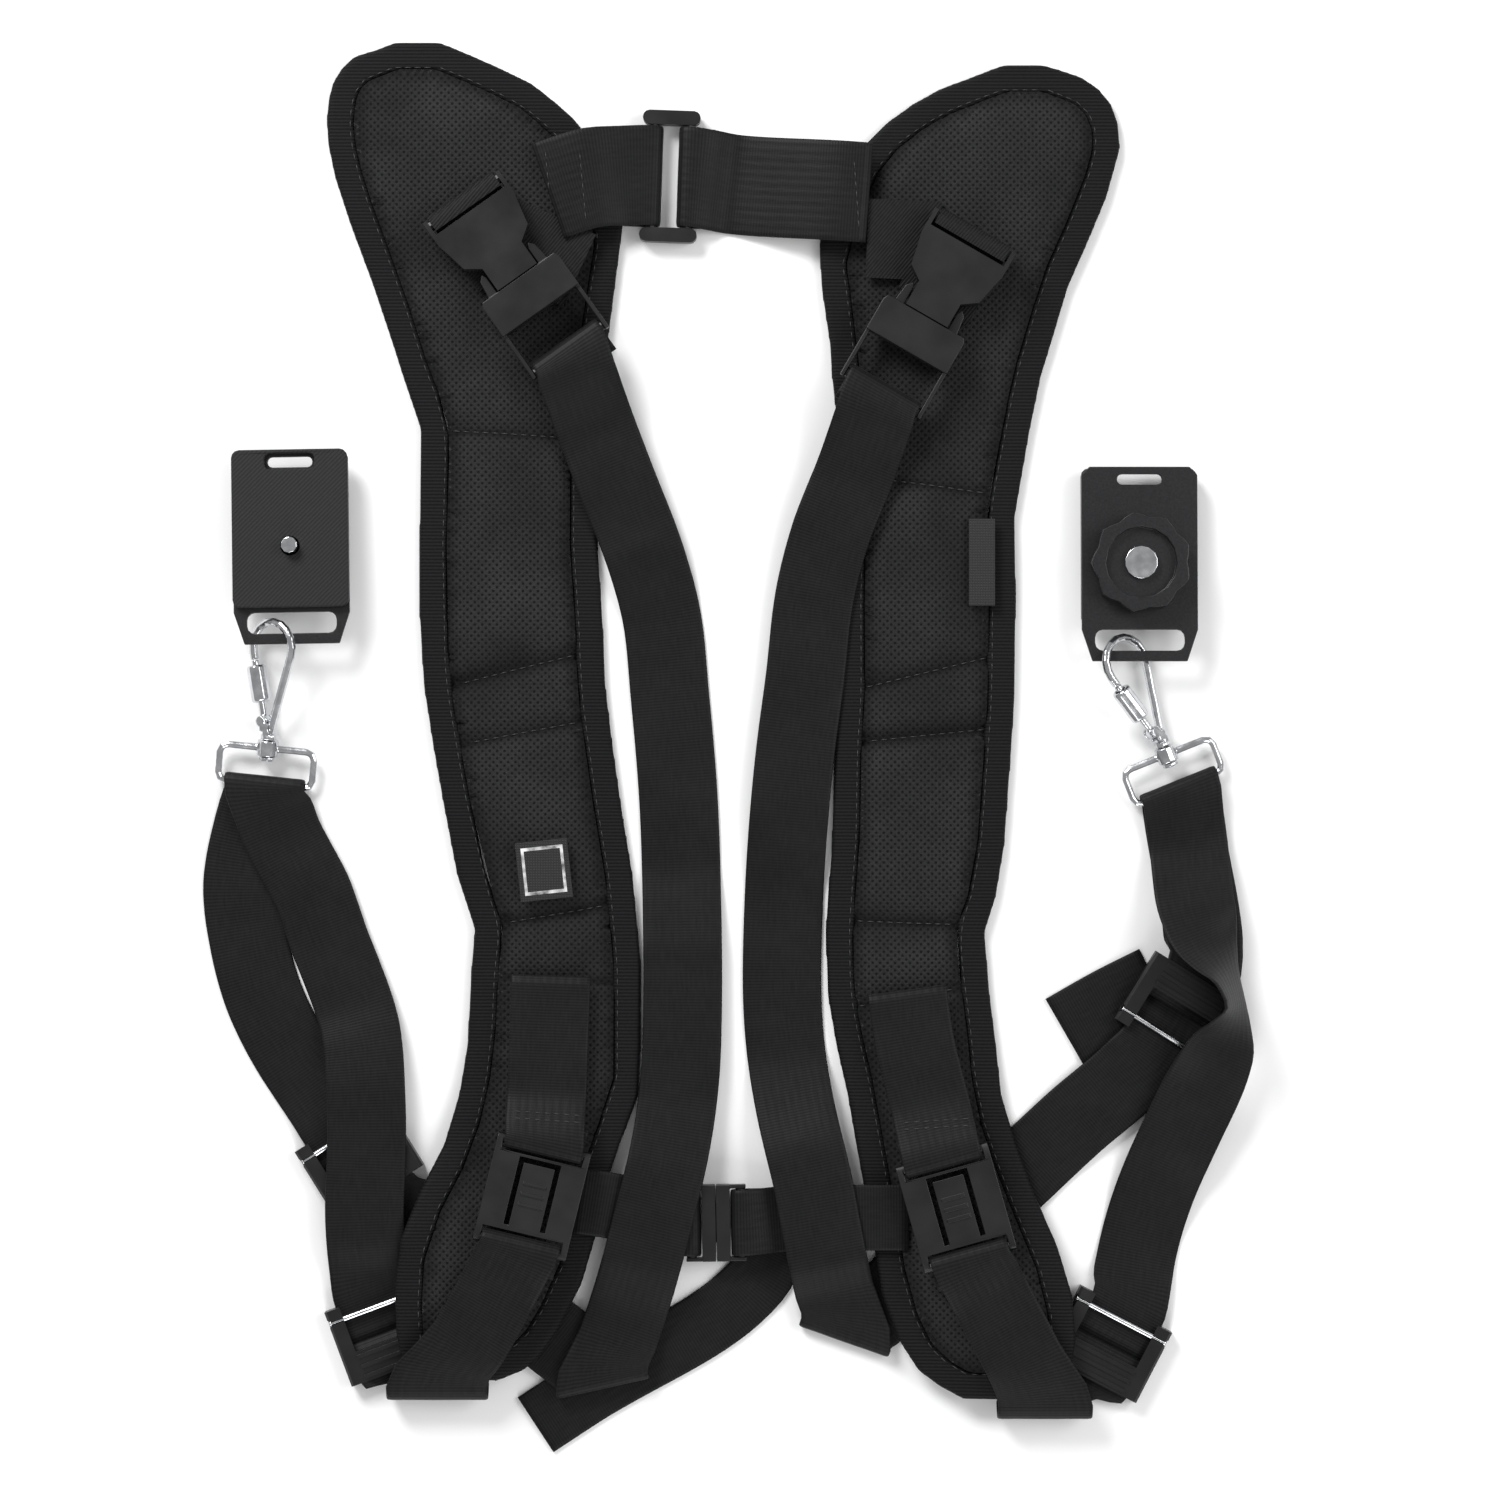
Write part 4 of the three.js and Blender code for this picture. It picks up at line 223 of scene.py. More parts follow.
def woven_strap(node, material):
    rows = strap_rows(node)
    corners = [smooth_run([row[k] for row in rows], STEPS_A_ROW) for k in range(4)]
    middles = [(a + b + c + d) / 4 for a, b, c, d in zip(*corners)]
    travelled = [0.0]
    for a, b in zip(middles, middles[1:]):
        travelled.append(travelled[-1] + (b - a).length)
    width = (corners[0][0] - corners[1][0]).length
    profile = [(u, h) for u, h in zip(SECTION, SECTION_HALF)]
    profile += [(u, -h) for u, h in zip(reversed(SECTION), reversed(SECTION_HALF))]
    count = len(profile)
    vertices = []
    for i in range(len(middles)):
        left = (corners[0][i] + corners[3][i]) / 2
        right = (corners[1][i] + corners[2][i]) / 2
        thick = (corners[0][i] + corners[1][i] - corners[2][i] - corners[3][i]) / 4
        swell = WEBBING_SWELL * noise.noise(middles[i] * SWELL_PITCH)
        thick = thick.normalized() * (WEBBING_HALF + swell)
        for u, h in profile:
            vertices.append(middles[i] + (right - left) * (u / 2) + thick * h)
    faces = []
    for i in range(len(middles) - 1):
        for k in range(count):
            a = i * count + k
            b = i * count + (k + 1) % count
            faces.append((a, b, b + count, a + count))
    faces.append(tuple(reversed(range(count))))
    faces.append(tuple(range((len(middles) - 1) * count, len(middles) * count)))
    mesh = bpy.data.meshes.new(node + "_woven")
    mesh.from_pydata([tuple(v) for v in vertices], [], faces)
    shape = bmesh.new()
    shape.from_mesh(mesh)
    bmesh.ops.recalc_face_normals(shape, faces=shape.faces)
    shape.to_mesh(mesh)
    shape.free()
    weave = mesh.uv_layers.new(name="weave")
    for face in mesh.polygons:
        for corner in face.loop_indices:
            index = mesh.loops[corner].vertex_index
            weave.data[corner].uv = (profile[index % count][0] * width / 2, travelled[index // count])
    piece = bpy.data.objects.new(node + "_woven", mesh)
    bpy.context.scene.collection.objects.link(piece)
    for face in mesh.polygons:
        face.use_smooth = True
    dress(piece, node, material)


def new_look(name):
    look = bpy.data.materials.new(name)
    look.use_nodes = True
    nodes = look.node_tree.nodes
    return look, nodes, look.node_tree.links, nodes["Principled BSDF"]


def colour_steps(nodes, low, high, dark, light):
    ramp = nodes.new("ShaderNodeValToRGB")
    ramp.color_ramp.elements[0].position = low
    ramp.color_ramp.elements[1].position = high
    ramp.color_ramp.elements[0].color = (dark[0], dark[1], dark[2], 1)
    ramp.color_ramp.elements[1].color = (light[0], light[1], light[2], 1)
    return ramp


def band(nodes, links, source, direction, pitch, profile="SIN"):
    wave = nodes.new("ShaderNodeTexWave")
    wave.wave_type = "BANDS"
    wave.bands_direction = direction
    wave.wave_profile = profile
    wave.inputs["Scale"].default_value = 0.314159 / pitch
    links.new(source, wave.inputs["Vector"])
    return wave


def mottle(nodes, links, source, scale, detail=2):
    speck = nodes.new("ShaderNodeTexNoise")
    speck.inputs["Scale"].default_value = scale
    speck.inputs["Detail"].default_value = detail
    links.new(source, speck.inputs["Vector"])
    return speck


def mixed(nodes, links, share, first, second):
    mix = nodes.new("ShaderNodeMix")
    mix.data_type = "FLOAT"
    mix.inputs["Factor"].default_value = share
    links.new(first, mix.inputs["A"])
    links.new(second, mix.inputs["B"])
    return mix


def relief(nodes, links, shader, height, strength, depth):
    bump = nodes.new("ShaderNodeBump")
    bump.inputs["Strength"].default_value = strength
    bump.inputs["Distance"].default_value = depth
    links.new(height, bump.inputs["Height"])
    links.new(bump.outputs["Normal"], shader.inputs["Normal"])


def coloured(nodes, links, shader, source, low, high, dark, light, socket="Base Color"):
    ramp = colour_steps(nodes, low, high, dark, light)
    links.new(source, ramp.inputs["Fac"])
    links.new(ramp.outputs["Color"], shader.inputs[socket])


def webbing_look(name, dark, light):
    look, nodes, links, shader = new_look(name)
    weave = nodes.new("ShaderNodeUVMap")
    weave.uv_map = "weave"
    ribs = band(nodes, links, weave.outputs["UV"], "Y", RIB_PITCH)
    cords = band(nodes, links, weave.outputs["UV"], "X", CORD_PITCH)
    mottled = nodes.new("ShaderNodeTexNoise")
    mottled.inputs["Scale"].default_value = 1
    mottled.inputs["Detail"].default_value = 3
    drawn = nodes.new("ShaderNodeMapping")
    drawn.inputs["Scale"].default_value = (1100, 160, 1)
    links.new(weave.outputs["UV"], drawn.inputs["Vector"])
    links.new(drawn.outputs["Vector"], mottled.inputs["Vector"])
    worn = mottle(nodes, links, weave.outputs["UV"], 40, 4)
    thread = mixed(nodes, links, 0.6, ribs.outputs["Fac"], mottled.outputs["Fac"])
    shade = mixed(nodes, links, 0.35, thread.outputs["Result"], worn.outputs["Fac"])
    coloured(nodes, links, shader, shade.outputs["Result"], 0.25, 0.75, dark, light)
    raised = nodes.new("ShaderNodeMath")
    raised.operation = "MULTIPLY_ADD"
    raised.inputs[1].default_value = 0.5
    links.new(cords.outputs["Fac"], raised.inputs[0])
    links.new(thread.outputs["Result"], raised.inputs[2])
    relief(nodes, links, shader, raised.outputs["Value"], 0.45, 0.0002)
    shader.inputs["Roughness"].default_value = 0.5
    shader.inputs["Specular IOR Level"].default_value = 0.13
    shader.inputs["Sheen Weight"].default_value = 0.03
    shader.inputs["Sheen Roughness"].default_value = 0.4
    return look


webbing = webbing_look("black_webbing", (0.0035, 0.0035, 0.0038), (0.014, 0.014, 0.015))
STRAPS = [
    "cross_strap_left", "cross_strap_right", "chest_strap_left", "chest_strap_right",
    "chest_strap_tail", "right_strap_tail",
    "left_front_strap", "right_front_strap",
    "left_camera_strap", "right_camera_strap",
    "left_lower_strap", "right_lower_strap", "left_lower_anchor", "right_lower_anchor",
]
for strap_name in STRAPS:
    woven_strap(strap_name, webbing)

# Anchor straps of the shoulder buckles.
# Each is a short fold of webbing sewn to the pad, with a flat patch of the same webbing beside it.
def turned(nodes, links, source, degrees):
    turn = nodes.new("ShaderNodeMapping")
    turn.inputs["Rotation"].default_value = (0, 0, math.radians(degrees))
    links.new(source, turn.inputs["Vector"])
    return turn


plain_webbing, nodes, links, shader = new_look("anchor_webbing")
place = nodes.new("ShaderNodeTexCoord")
turn = turned(nodes, links, place.outputs["Object"], 40)
ribs = band(nodes, links, turn.outputs["Vector"], "X", RIB_PITCH)
speckle = mottle(nodes, links, place.outputs["Object"], 700)
both = mixed(nodes, links, 0.5, ribs.outputs["Fac"], speckle.outputs["Fac"])
coloured(
    nodes, links, shader, both.outputs["Result"], 0.2, 0.8,
    (0.0035, 0.0035, 0.0038), (0.014, 0.014, 0.015),
)
relief(nodes, links, shader, both.outputs["Result"], 0.6, 0.0003)
shader.inputs["Roughness"].default_value = 0.6
shader.inputs["Specular IOR Level"].default_value = 0.13


def eased_copy(node, edge, segments=3, angle=30):
    piece = merged_copy(node)
    bevel = piece.modifiers.new("eased_edges", "BEVEL")
    bevel.width = edge
    bevel.segments = segments
    bevel.limit_method = "ANGLE"
    bevel.angle_limit = math.radians(angle)
    bevel.use_clamp_overlap = True
    bpy.ops.object.modifier_apply(modifier=bevel.name)
    bpy.ops.object.shade_smooth_by_angle(angle=math.radians(50))
    weighted = piece.modifiers.new("flat_faces_stay_flat", "WEIGHTED_NORMAL")
    weighted.keep_sharp = True
    bpy.ops.object.modifier_apply(modifier=weighted.name)
    return piece


for side in ("left", "right"):
    fold = eased_copy(side + "_buckle_anchor", 0.0003, 2)
    dress(fold, side + "_buckle_anchor", plain_webbing)

# Shoulder pads.
# Each is a long foam pad with a mesh cover, crowned in the middle and pulled down at sewn creases.
# The foam is blown up a little by a cloth simulation and held inside its CAD solid's place.
# Shade in the creases and along the rim beside the binding is painted into the cover's colour.
def multiplied(nodes, links, first, second):
    mix = nodes.new("ShaderNodeMix")
    mix.data_type = "RGBA"
    mix.blend_type = "MULTIPLY"
    mix.inputs["Factor"].default_value = 1
    links.new(first, mix.inputs["A"])
    links.new(second, mix.inputs["B"])
    return mix


mesh_cover, nodes, links, shader = new_look("mesh_cover")
place = nodes.new("ShaderNodeTexCoord")
holes = []
for degrees in (45, -45):
    lean = turned(nodes, links, place.outputs["Object"], degrees)
    holes.append(band(nodes, links, lean.outputs["Vector"], "X", 0.0020))
crossed = nodes.new("ShaderNodeMath")
crossed.operation = "MULTIPLY"
links.new(holes[0].outputs["Fac"], crossed.inputs[0])
links.new(holes[1].outputs["Fac"], crossed.inputs[1])
knit = mottle(nodes, links, place.outputs["Object"], 1100, 2)
patchy = mottle(nodes, links, place.outputs["Object"], 30, 4)
ground = colour_steps(nodes, 0.3, 0.7, (0.010, 0.010, 0.0103), (0.022, 0.022, 0.023))
links.new(patchy.outputs["Fac"], ground.inputs["Fac"])
hole_mask = colour_steps(nodes, 0.38, 0.62, (1, 1, 1), (0.12, 0.12, 0.12))
links.new(crossed.outputs["Value"], hole_mask.inputs["Fac"])
fibre_mask = colour_steps(nodes, 0.3, 0.7, (0.75, 0.75, 0.75), (1.25, 1.25, 1.25))
links.new(knit.outputs["Fac"], fibre_mask.inputs["Fac"])
tinted = multiplied(nodes, links, ground.outputs["Color"], hole_mask.outputs["Color"])
speckled = multiplied(nodes, links, tinted.outputs["Result"], fibre_mask.outputs["Color"])
# This vertex colour is painted shade: it darkens the cover in the creases and along the rim next to the
# binding.
painted_seam_shade = nodes.new("ShaderNodeVertexColor")
painted_seam_shade.layer_name = "painted_seam_shade"
shaded = multiplied(nodes, links, speckled.outputs["Result"], painted_seam_shade.outputs["Color"])
links.new(shaded.outputs["Result"], shader.inputs["Base Color"])
sunk = nodes.new("ShaderNodeMath")
sunk.operation = "MULTIPLY_ADD"
sunk.inputs[1].default_value = -1
links.new(crossed.outputs["Value"], sunk.inputs[0])
links.new(knit.outputs["Fac"], sunk.inputs[2])
relief(nodes, links, shader, sunk.outputs["Value"], 0.55, 0.0005)
shader.inputs["Roughness"].default_value = 0.8
shader.inputs["Specular IOR Level"].default_value = 0.15
shader.inputs["Sheen Weight"].default_value = 0.04
shader.inputs["Sheen Roughness"].default_value = 0.5

PAD_VOXEL = 0.003
PAD_SHRINK = 0.0012
PAD_STANDS_PROUD = 0.0003
PAD_FRAMES = 20
PAD_PRESSURE = 4
EDGE_TILT = 0.85
RIM_TILT = 0.93
WALL_TILT = 0.6
TOP_TILT = 0.2
FILL_BELOW = 0.0006
DEEP_INSIDE = 0.0025
FILL_MOST = 0.002
# How far painted shade darkens the cover: across a crease, in the crease's middle line and along the
# rim.
CREASE_PAINTED_SHADE = 0.4
SEAM_LINE_PAINTED_SHADE = 0.75
RIM_PAINTED_SHADE = 0.3
SEAM_DEPTH = 0.0026
SEAM_HALF_WIDTH = 0.0034
SEAM_LINE = 0.0012
PAD_REACH = 0.0011
RIM_WIDTH = 0.0045
# Each seam: its ends at the pad's outer and inner edge, in metres, and how deep it pulls.
PAD_SEAMS = {
    "left": [
        ((-0.112, 0.121), (-0.047, 0.117), 0.4), ((-0.101, 0.0245), (-0.045, 0.0385), 1),
        ((-0.097, 0.002), (-0.045, 0.0118), 0.8), ((-0.094, -0.0685), (-0.045, -0.060), 0.9),
        ((-0.098, -0.087), (-0.045, -0.0895), 0.3),
    ],
    "right": [
        ((0.112, 0.095), (0.045, 0.104), 0.4), ((0.102, 0.035), (0.045, 0.021), 0.6),
        ((0.105, 0.0075), (0.045, 0.0015), 1), ((0.100, -0.068), (0.045, -0.066), 0.9),
        ((0.100, -0.0895), (0.045, -0.0995), 0.4),
    ],
}


def nearest_on_seam(x, y, seam):
    (ax, ay), (bx, by), depth = seam
    along = (x - ax) * (bx - ax) + (y - ay) * (by - ay)
    t = max(0, min(1, along / ((bx - ax) ** 2 + (by - ay) ** 2)))
    return math.hypot(x - ax - t * (bx - ax), y - ay - t * (by - ay)), depth


def padded_piece(side):
    node = side + "_pad"
    piece = merged_copy(node)
    limits = bvhtree.BVHTree.FromObject(piece, bpy.context.evaluated_depsgraph_get())
    corners = [vertex.co.copy() for vertex in piece.data.vertices]
    upright = [tuple(face.vertices) for face in piece.data.polygons if abs(face.normal.z) < WALL_TILT]
    walls = bvhtree.BVHTree.FromPolygons(corners, upright)
    remesh = piece.modifiers.new("even_grid", "REMESH")
    remesh.mode = "VOXEL"
    remesh.voxel_size = PAD_VOXEL
    bpy.ops.object.modifier_apply(modifier=remesh.name)
    slim = piece.modifiers.new("slim", "DISPLACE")
    slim.strength = -PAD_SHRINK
    slim.mid_level = 0
    bpy.ops.object.modifier_apply(modifier=slim.name)
    even = piece.modifiers.new("even", "SMOOTH")
    even.factor = 0.5
    even.iterations = 6
    bpy.ops.object.modifier_apply(modifier=even.name)
    sewn_edge = piece.vertex_groups.new(name="sewn_edge")
    edge_points = [vertex.index for vertex in piece.data.vertices if abs(vertex.normal.z) < EDGE_TILT]
    sewn_edge.add(edge_points, 1, "REPLACE")
    cloth = piece.modifiers.new("foam", "CLOTH")
    cloth.settings.use_pressure = True
    cloth.settings.uniform_pressure_force = PAD_PRESSURE
    cloth.settings.effector_weights.gravity = 0
    cloth.settings.quality = 5
    cloth.settings.vertex_group_mass = "sewn_edge"
    cloth.collision_settings.use_collision = False
    cloth.point_cache.frame_start = 1
    cloth.point_cache.frame_end = PAD_FRAMES
    for number in range(1, PAD_FRAMES + 1):
        bpy.context.scene.frame_set(number)
    bpy.ops.object.modifier_apply(modifier=cloth.name)
    bpy.context.scene.frame_set(1)
    finer = piece.modifiers.new("finer", "SUBSURF")
    finer.levels = 1
    finer.render_levels = 1
    bpy.ops.object.modifier_apply(modifier=finer.name)
    low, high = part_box(node)
    # Painted shade for each vertex: darker in a crease and at its middle line, darkest on the rim
    # against the binding.
    painted_shades = piece.data.color_attributes.new(name="painted_seam_shade", type="FLOAT_COLOR", domain="POINT")
    for vertex in piece.data.vertices:
        spot, normal = limits.find_nearest(vertex.co)[:2]
        outside = (vertex.co - spot).dot(normal)
        shade = 1.0
        if outside > PAD_STANDS_PROUD:
            vertex.co = spot + (vertex.co - spot) * (PAD_STANDS_PROUD / outside)
        far_in = outside < -DEEP_INSIDE or normal.z > TOP_TILT
        if far_in and outside < -FILL_BELOW:
            vertex.co += normal * min(-outside - FILL_BELOW, FILL_MOST)
        if normal.z > TOP_TILT:
            for seam in PAD_SEAMS[side]:
                apart, depth = nearest_on_seam(vertex.co.x, vertex.co.y, seam)
                if apart < 3 * SEAM_HALF_WIDTH:
                    pull = math.exp(-((apart / SEAM_HALF_WIDTH) ** 2))
                    line = math.exp(-((apart / SEAM_LINE) ** 2))
                    vertex.co.z -= SEAM_DEPTH * depth * pull
                    shade = min(shade, (1 - CREASE_PAINTED_SHADE * depth * pull) * (1 - SEAM_LINE_PAINTED_SHADE * line))
        spot, normal, index, away = walls.find_nearest(vertex.co)
        if abs(vertex.normal.z) < RIM_TILT and away < RIM_WIDTH:
            outwards = Vector((normal.x, normal.y, 0)).normalized()
            vertex.co += outwards * (PAD_REACH - (vertex.co - spot).dot(outwards))
            shade = RIM_PAINTED_SHADE
        painted_shades.data[vertex.index].color = (shade, shade, shade, 1)
        vertex.co.z = max(vertex.co.z, low.z)
    bpy.ops.object.shade_smooth()
    dress(piece, node, mesh_cover)


for side in ("left", "right"):
    padded_piece(side)

# Binding tape.
# A ribbed tape is folded over each pad's edge all the way round and sewn down with one row of stitches.
tape_look, nodes, links, shader = new_look("ribbed_tape")
place = nodes.new("ShaderNodeTexCoord")
grain = mottle(nodes, links, place.outputs["Object"], 1300, 2)
ribs = band(nodes, links, place.outputs["Object"], "Y", 0.0013)
both = mixed(nodes, links, 0.45, ribs.outputs["Fac"], grain.outputs["Fac"])
coloured(
    nodes, links, shader, both.outputs["Result"], 0.2, 0.8,
    (0.0028, 0.0028, 0.003), (0.012, 0.012, 0.013),
)
relief(nodes, links, shader, both.outputs["Result"], 0.5, 0.0003)
shader.inputs["Roughness"].default_value = 0.65
shader.inputs["Specular IOR Level"].default_value = 0.1


TAPE_VOXEL = 0.0011
TAPE_ROUNDS = 8


def rounded_copy(node, voxel, rounds):
    piece = merged_copy(node)
    remesh = piece.modifiers.new("even_grid", "REMESH")
    remesh.mode = "VOXEL"
    remesh.voxel_size = voxel
    bpy.ops.object.modifier_apply(modifier=remesh.name)
    even = piece.modifiers.new("even", "SMOOTH")
    even.factor = 0.5
    even.iterations = rounds
    bpy.ops.object.modifier_apply(modifier=even.name)
    bpy.ops.object.shade_smooth()
    return piece


for side in ("left", "right"):
    tape = rounded_copy(side + "_pad_binding", TAPE_VOXEL, TAPE_ROUNDS)
    dress(tape, side + "_pad_binding", tape_look)

# Moulded plastic fittings.
# Buckles, strap stoppers and the slider are moulded in black acetal, satin with eased edges.
moulded, nodes, links, shader = new_look("moulded_black")
place = nodes.new("ShaderNodeTexCoord")
fine = mottle(nodes, links, place.outputs["Object"], 1500, 2)
cloudy = mottle(nodes, links, place.outputs["Object"], 60, 3)
coloured(
    nodes, links, shader, cloudy.outputs["Fac"], 0.3, 0.7,
    (0.005, 0.005, 0.0053), (0.009, 0.009, 0.0095),
)
coloured(
    nodes, links, shader, cloudy.outputs["Fac"], 0.3, 0.7,
    (0.34, 0.34, 0.34), (0.46, 0.46, 0.46), "Roughness",
)
relief(nodes, links, shader, fine.outputs["Fac"], 0.12, 0.0001)
shader.inputs["Specular IOR Level"].default_value = 0.4
PLASTIC_PARTS = ["cross_strap_slider", "chest_buckle_socket", "chest_buckle_plug"]
STOPPERS_AND_BUCKLES = [
    "upper_stopper", "lower_stopper", "top_buckle_socket", "top_buckle_plug", "lower_buckle",
]
for side in ("left", "right"):
    for part in STOPPERS_AND_BUCKLES:
        PLASTIC_PARTS.append(side + "_" + part)
for part in PLASTIC_PARTS:
    dress(eased_copy(part, 0.00055), part, moulded)

# Steel rings, hooks, gates and bars.
# Wire rings and cast hooks are chrome plated; the hook's sleeve is knurled.
WIRE_VOXEL = 0.00032
WIRE_ROUNDS = 4
chrome, nodes, links, shader = new_look("bright_chrome")
place = nodes.new("ShaderNodeTexCoord")
smear = mottle(nodes, links, place.outputs["Object"], 220, 3)
tone = colour_steps(nodes, 0.3, 0.7, (0.52, 0.53, 0.55), (0.70, 0.71, 0.73))
links.new(smear.outputs["Fac"], tone.inputs["Fac"])
links.new(tone.outputs["Color"], shader.inputs["Base Color"])
coloured(
    nodes, links, shader, smear.outputs["Fac"], 0.3, 0.7,
    (0.12, 0.12, 0.12), (0.26, 0.26, 0.26), "Roughness",
)
shader.inputs["Metallic"].default_value = 1
for side in ("left", "right"):
    for part in ("ring", "hook", "gate", "gate_sleeve"):
        wire = rounded_copy(side + "_" + part, WIRE_VOXEL, WIRE_ROUNDS)
        dress(wire, side + "_" + part, chrome)
    for part in ("upper_stopper_bar", "lower_stopper_bar"):
        dress(eased_copy(side + "_" + part, 0.0003), side + "_" + part, chrome)
    dress(eased_copy(side + "_camera_screw", 0.0004), side + "_camera_screw", chrome)

# Camera plates.
# Each is a black anodised metal plate with a grained rubber face and a scalloped knob on its back.
anodised, nodes, links, shader = new_look("black_anodised")
place = nodes.new("ShaderNodeTexCoord")
fine = mottle(nodes, links, place.outputs["Object"], 1200)
coloured(
    nodes, links, shader, fine.outputs["Fac"], 0.3, 0.7,
    (0.010, 0.010, 0.011), (0.019, 0.019, 0.021),
)
relief(nodes, links, shader, fine.outputs["Fac"], 0.15, 0.0001)
shader.inputs["Metallic"].default_value = 0.3
shader.inputs["Roughness"].default_value = 0.36

rubber, nodes, links, shader = new_look("grained_rubber")
place = nodes.new("ShaderNodeTexCoord")
lean = turned(nodes, links, place.outputs["Object"], 45)
grooves = band(nodes, links, lean.outputs["Vector"], "X", 0.0012)
grit = mottle(nodes, links, place.outputs["Object"], 1400)
both = mixed(nodes, links, 0.5, grooves.outputs["Fac"], grit.outputs["Fac"])
coloured(
    nodes, links, shader, both.outputs["Result"], 0.2, 0.8,
    (0.007, 0.007, 0.0075), (0.020, 0.020, 0.021),
)
relief(nodes, links, shader, both.outputs["Result"], 0.4, 0.0002)
shader.inputs["Roughness"].default_value = 0.6
shader.inputs["Specular IOR Level"].default_value = 0.25
for side in ("left", "right"):
    dress(eased_copy(side + "_plate", 0.0004), side + "_plate", anodised)
    dress(eased_copy(side + "_knob", 0.0006), side + "_knob", anodised)
    dress(eased_copy(side + "_plate_rubber", 0.0005), side + "_plate_rubber", rubber)

# Patch and label.
# A plain woven patch on the left pad and a plain woven label at the right pad's edge, both left blank.
patch_look, nodes, links, shader = new_look("woven_patch")
place = nodes.new("ShaderNodeTexCoord")
warp = band(nodes, links, place.outputs["Object"], "X", 0.0010)
weft = band(nodes, links, place.outputs["Object"], "Y", 0.0010)
crossing = nodes.new("ShaderNodeMath")
crossing.operation = "MULTIPLY"
links.new(warp.outputs["Fac"], crossing.inputs[0])
links.new(weft.outputs["Fac"], crossing.inputs[1])
coloured(
    nodes, links, shader, crossing.outputs["Value"], 0.1, 0.9,
    (0.004, 0.004, 0.0045), (0.013, 0.013, 0.014),
)
relief(nodes, links, shader, crossing.outputs["Value"], 0.5, 0.0002)
shader.inputs["Roughness"].default_value = 0.6
for part in ("emblem_patch", "side_label"):
    dress(eased_copy(part, 0.00025, 2), part, patch_look)

silver, nodes, links, shader = new_look("silver_thread")
place = nodes.new("ShaderNodeTexCoord")
# The thread's own light silver colour, mottled with painted glints: noise swings it between dark and
# bright spots.
painted_glint = mottle(nodes, links, place.outputs["Object"], 260, 3)
coloured(
    nodes, links, shader, painted_glint.outputs["Fac"], 0.35, 0.65,
    (0.10, 0.10, 0.10), (0.75, 0.75, 0.75),
)
shader.inputs["Roughness"].default_value = 0.4
# The border's place and width are shares of the patch; its rise is in metres.
BORDER_INSET = 0.10
BORDER_WIDTH = 0.055
BORDER_RISE = 0.00025
BORDER_FOOT = 0.4
PATCH_TOP_SKIN = 0.0004
patch_copy = merged_copy("emblem_patch")
patch_top = max(vertex.co.z for vertex in patch_copy.data.vertices)
patch_points = [vertex.co.copy() for vertex in patch_copy.data.vertices]
top_corners = [point for point in patch_points if point.z > patch_top - PATCH_TOP_SKIN]
bpy.data.objects.remove(patch_copy)
patch_middle = sum(top_corners, Vector()) / len(top_corners)
top_corners.sort(key=lambda corner: -(corner - patch_middle).length)
patch_ring = top_corners[:4]
patch_ring.sort(key=lambda corner: math.atan2(corner.y - patch_middle.y, corner.x - patch_middle.x))
border_points = []
inner = BORDER_INSET + BORDER_WIDTH
for share, rise in ((BORDER_INSET, 0), (BORDER_INSET, 1), (inner, 1), (inner, 0)):
    for corner in patch_ring:
        point = corner + (patch_middle - corner) * share * 2
        border_points.append((point.x, point.y, patch_top + BORDER_RISE * (rise - BORDER_FOOT)))
border_faces = []
for layer in range(4):
    for k in range(4):
        a = layer * 4 + k
        b = layer * 4 + (k + 1) % 4
        border_faces.append((a, b, (b + 4) % 16, (a + 4) % 16))
border_mesh = bpy.data.meshes.new("patch_border")
border_mesh.from_pydata(border_points, [], border_faces)
border = bpy.data.objects.new("patch_border", border_mesh)
bpy.context.scene.collection.objects.link(border)
border_mesh.materials.append(silver)
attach(border, "harness")

# Stitching.
# Polyester thread, black but a shade lighter than the cloth: a row along each binding, rows
# across the sewn strap ends, and a line of stitches at each crease deeper than SEWN_DEPTH.
thread_look, nodes, links, shader = new_look("sewing_thread")
place = nodes.new("ShaderNodeTexCoord")
ply = mottle(nodes, links, place.outputs["Object"], 1800)
coloured(
    nodes, links, shader, ply.outputs["Fac"], 0.3, 0.7,
    (0.012, 0.012, 0.0125), (0.030, 0.030, 0.031),
)
shader.inputs["Roughness"].default_value = 0.5
STITCH = 0.0026
STITCH_GAP = 0.0011
THREAD = 0.00050
STITCH_RISE = (-0.2, 0.55, -0.2)
STITCH_GIRTH = (0.7, 1, 0.7)
STEEPEST_STITCH = 0.0012
ABOVE_ALL = 0.08


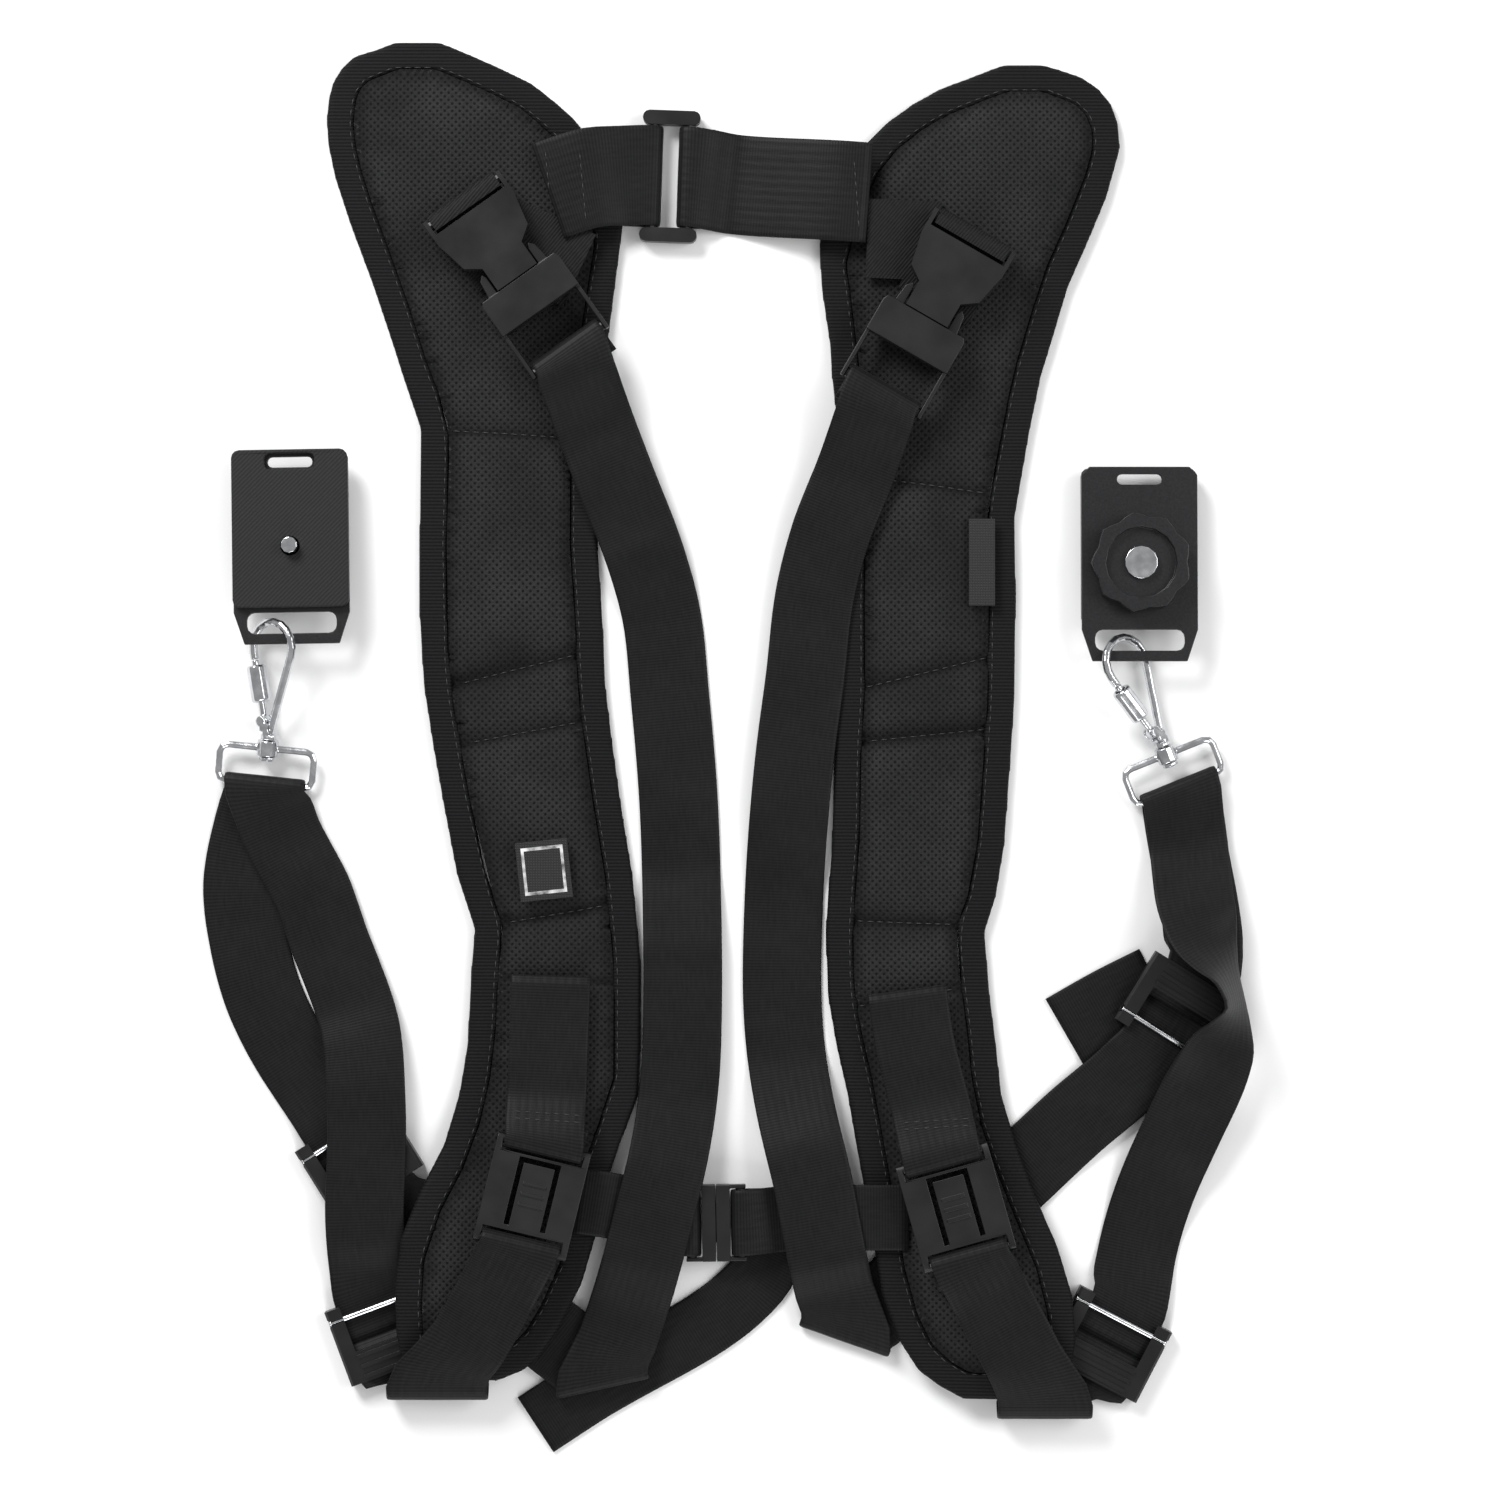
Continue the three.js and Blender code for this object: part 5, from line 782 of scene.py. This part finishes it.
def stitches(name, runs, cloth_piece):
    cloth = bpy.data.objects[cloth_piece]
    surface = bvhtree.BVHTree.FromObject(cloth, bpy.context.evaluated_depsgraph_get())

    def on_top(x, y):
        hit = surface.ray_cast(Vector((x, y, ABOVE_ALL)), Vector((0, 0, -1)))[0]
        return None if hit is None else hit.z

    vertices = []
    faces = []
    for run in runs:
        left_over = 0.0
        for (ax, ay), (bx, by) in zip(run, run[1:]):
            length = math.hypot(bx - ax, by - ay)
            if length < 1e-6:
                continue
            dx = (bx - ax) / length
            dy = (by - ay) / length
            at = left_over
            while at + STITCH <= length:
                reaches = [at, at + STITCH / 2, at + STITCH]
                spots = [(ax + dx * reach, ay + dy * reach) for reach in reaches]
                heights = [on_top(x, y) for x, y in spots]
                at += STITCH + STITCH_GAP
                if None in heights or max(heights) - min(heights) > STEEPEST_STITCH:
                    continue
                base = len(vertices)
                half = THREAD / 2
                for (x, y), z, rise, wide in zip(spots, heights, STITCH_RISE, STITCH_GIRTH):
                    for turn in range(6):
                        angle = turn * math.pi / 3
                        out = math.cos(angle) * half * wide
                        up = z + THREAD * rise + math.sin(angle) * half * wide
                        vertices.append((x - dy * out, y + dx * out, up))
                for row in range(2):
                    for turn in range(6):
                        a = base + row * 6 + turn
                        b = base + row * 6 + (turn + 1) % 6
                        faces.append((a, b, b + 6, a + 6))
                faces.append(tuple(base + k for k in reversed(range(6))))
                faces.append(tuple(base + 12 + k for k in range(6)))
            left_over = max(0.0, at - length)
    mesh = bpy.data.meshes.new(name)
    mesh.from_pydata(vertices, [], faces)
    shape = bmesh.new()
    shape.from_mesh(mesh)
    bmesh.ops.recalc_face_normals(shape, faces=shape.faces)
    shape.to_mesh(mesh)
    shape.free()
    mesh.materials.append(thread_look)
    for face in mesh.polygons:
        face.use_smooth = True
    piece = bpy.data.objects.new(name, mesh)
    bpy.context.scene.collection.objects.link(piece)
    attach(piece, "harness")


OUTLINE_STEP = 0.004
OUTLINE_END = 0.0008
SEAM_FROM_PAD = 0.0026
SEWN_DEPTH = 0.35


def pad_outline(node, away):
    core = merged_copy(node)
    tree = bvhtree.BVHTree.FromObject(core, bpy.context.evaluated_depsgraph_get())
    bpy.data.objects.remove(core)
    low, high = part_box(node)
    chains = []
    for start, way in ((low.x - 0.05, 1), (high.x + 0.05, -1)):
        chain = []
        steps = int((high.y - low.y) / OUTLINE_STEP)
        for i in range(steps + 1):
            y = low.y + OUTLINE_END + (high.y - low.y - 2 * OUTLINE_END) * i / steps
            hits = []
            for level in range(1, 17):
                hit = tree.ray_cast(Vector((start, y, level * 0.001)), Vector((way, 0, 0)))[0]
                if hit is not None:
                    hits.append(hit.x)
            if hits:
                chain.append((min(hits) if way > 0 else max(hits), y))
        chains.append(chain)
    loop = chains[0] + list(reversed(chains[1]))
    moved = []
    for i, (x, y) in enumerate(loop):
        bx, by = loop[i - 1]
        nx, ny = loop[(i + 1) % len(loop)]
        length = max(math.hypot(nx - bx, ny - by), 1e-9)
        moved.append((x - (ny - by) / length * away, y + (nx - bx) / length * away))
    return moved + [moved[0]]


for side in ("left", "right"):
    around = pad_outline(side + "_pad", SEAM_FROM_PAD)
    stitches(side + "_binding_seam", [around], side + "_pad_binding_made")
    creases = [[start, end] for start, end, depth in PAD_SEAMS[side] if depth > SEWN_DEPTH]
    stitches(side + "_crease_seams", creases, side + "_pad_made")


# Rows of stitches across the sewn straps: ends of each row in metres.
SEWN_ROWS = {
    "left_lower_anchor": [
        ((-0.0805, -0.1375), (-0.0510, -0.1395)), ((-0.0805, -0.1400), (-0.0510, -0.1420)),
    ],
    "right_lower_anchor": [
        ((0.0665, -0.1420), (0.0960, -0.1400)), ((0.0665, -0.1445), (0.0960, -0.1425)),
    ],
    "cross_strap_left": [
        ((-0.0690, 0.2255), (-0.0665, 0.1985)), ((-0.0560, 0.2250), (-0.0535, 0.1975)),
    ],
    "cross_strap_right": [
        ((0.0600, 0.2215), (0.0620, 0.1940)), ((0.0480, 0.2220), (0.0500, 0.1945)),
    ],
}
for strap_name, rows in SEWN_ROWS.items():
    stitches(strap_name + "_stitches", rows, strap_name + "_woven")
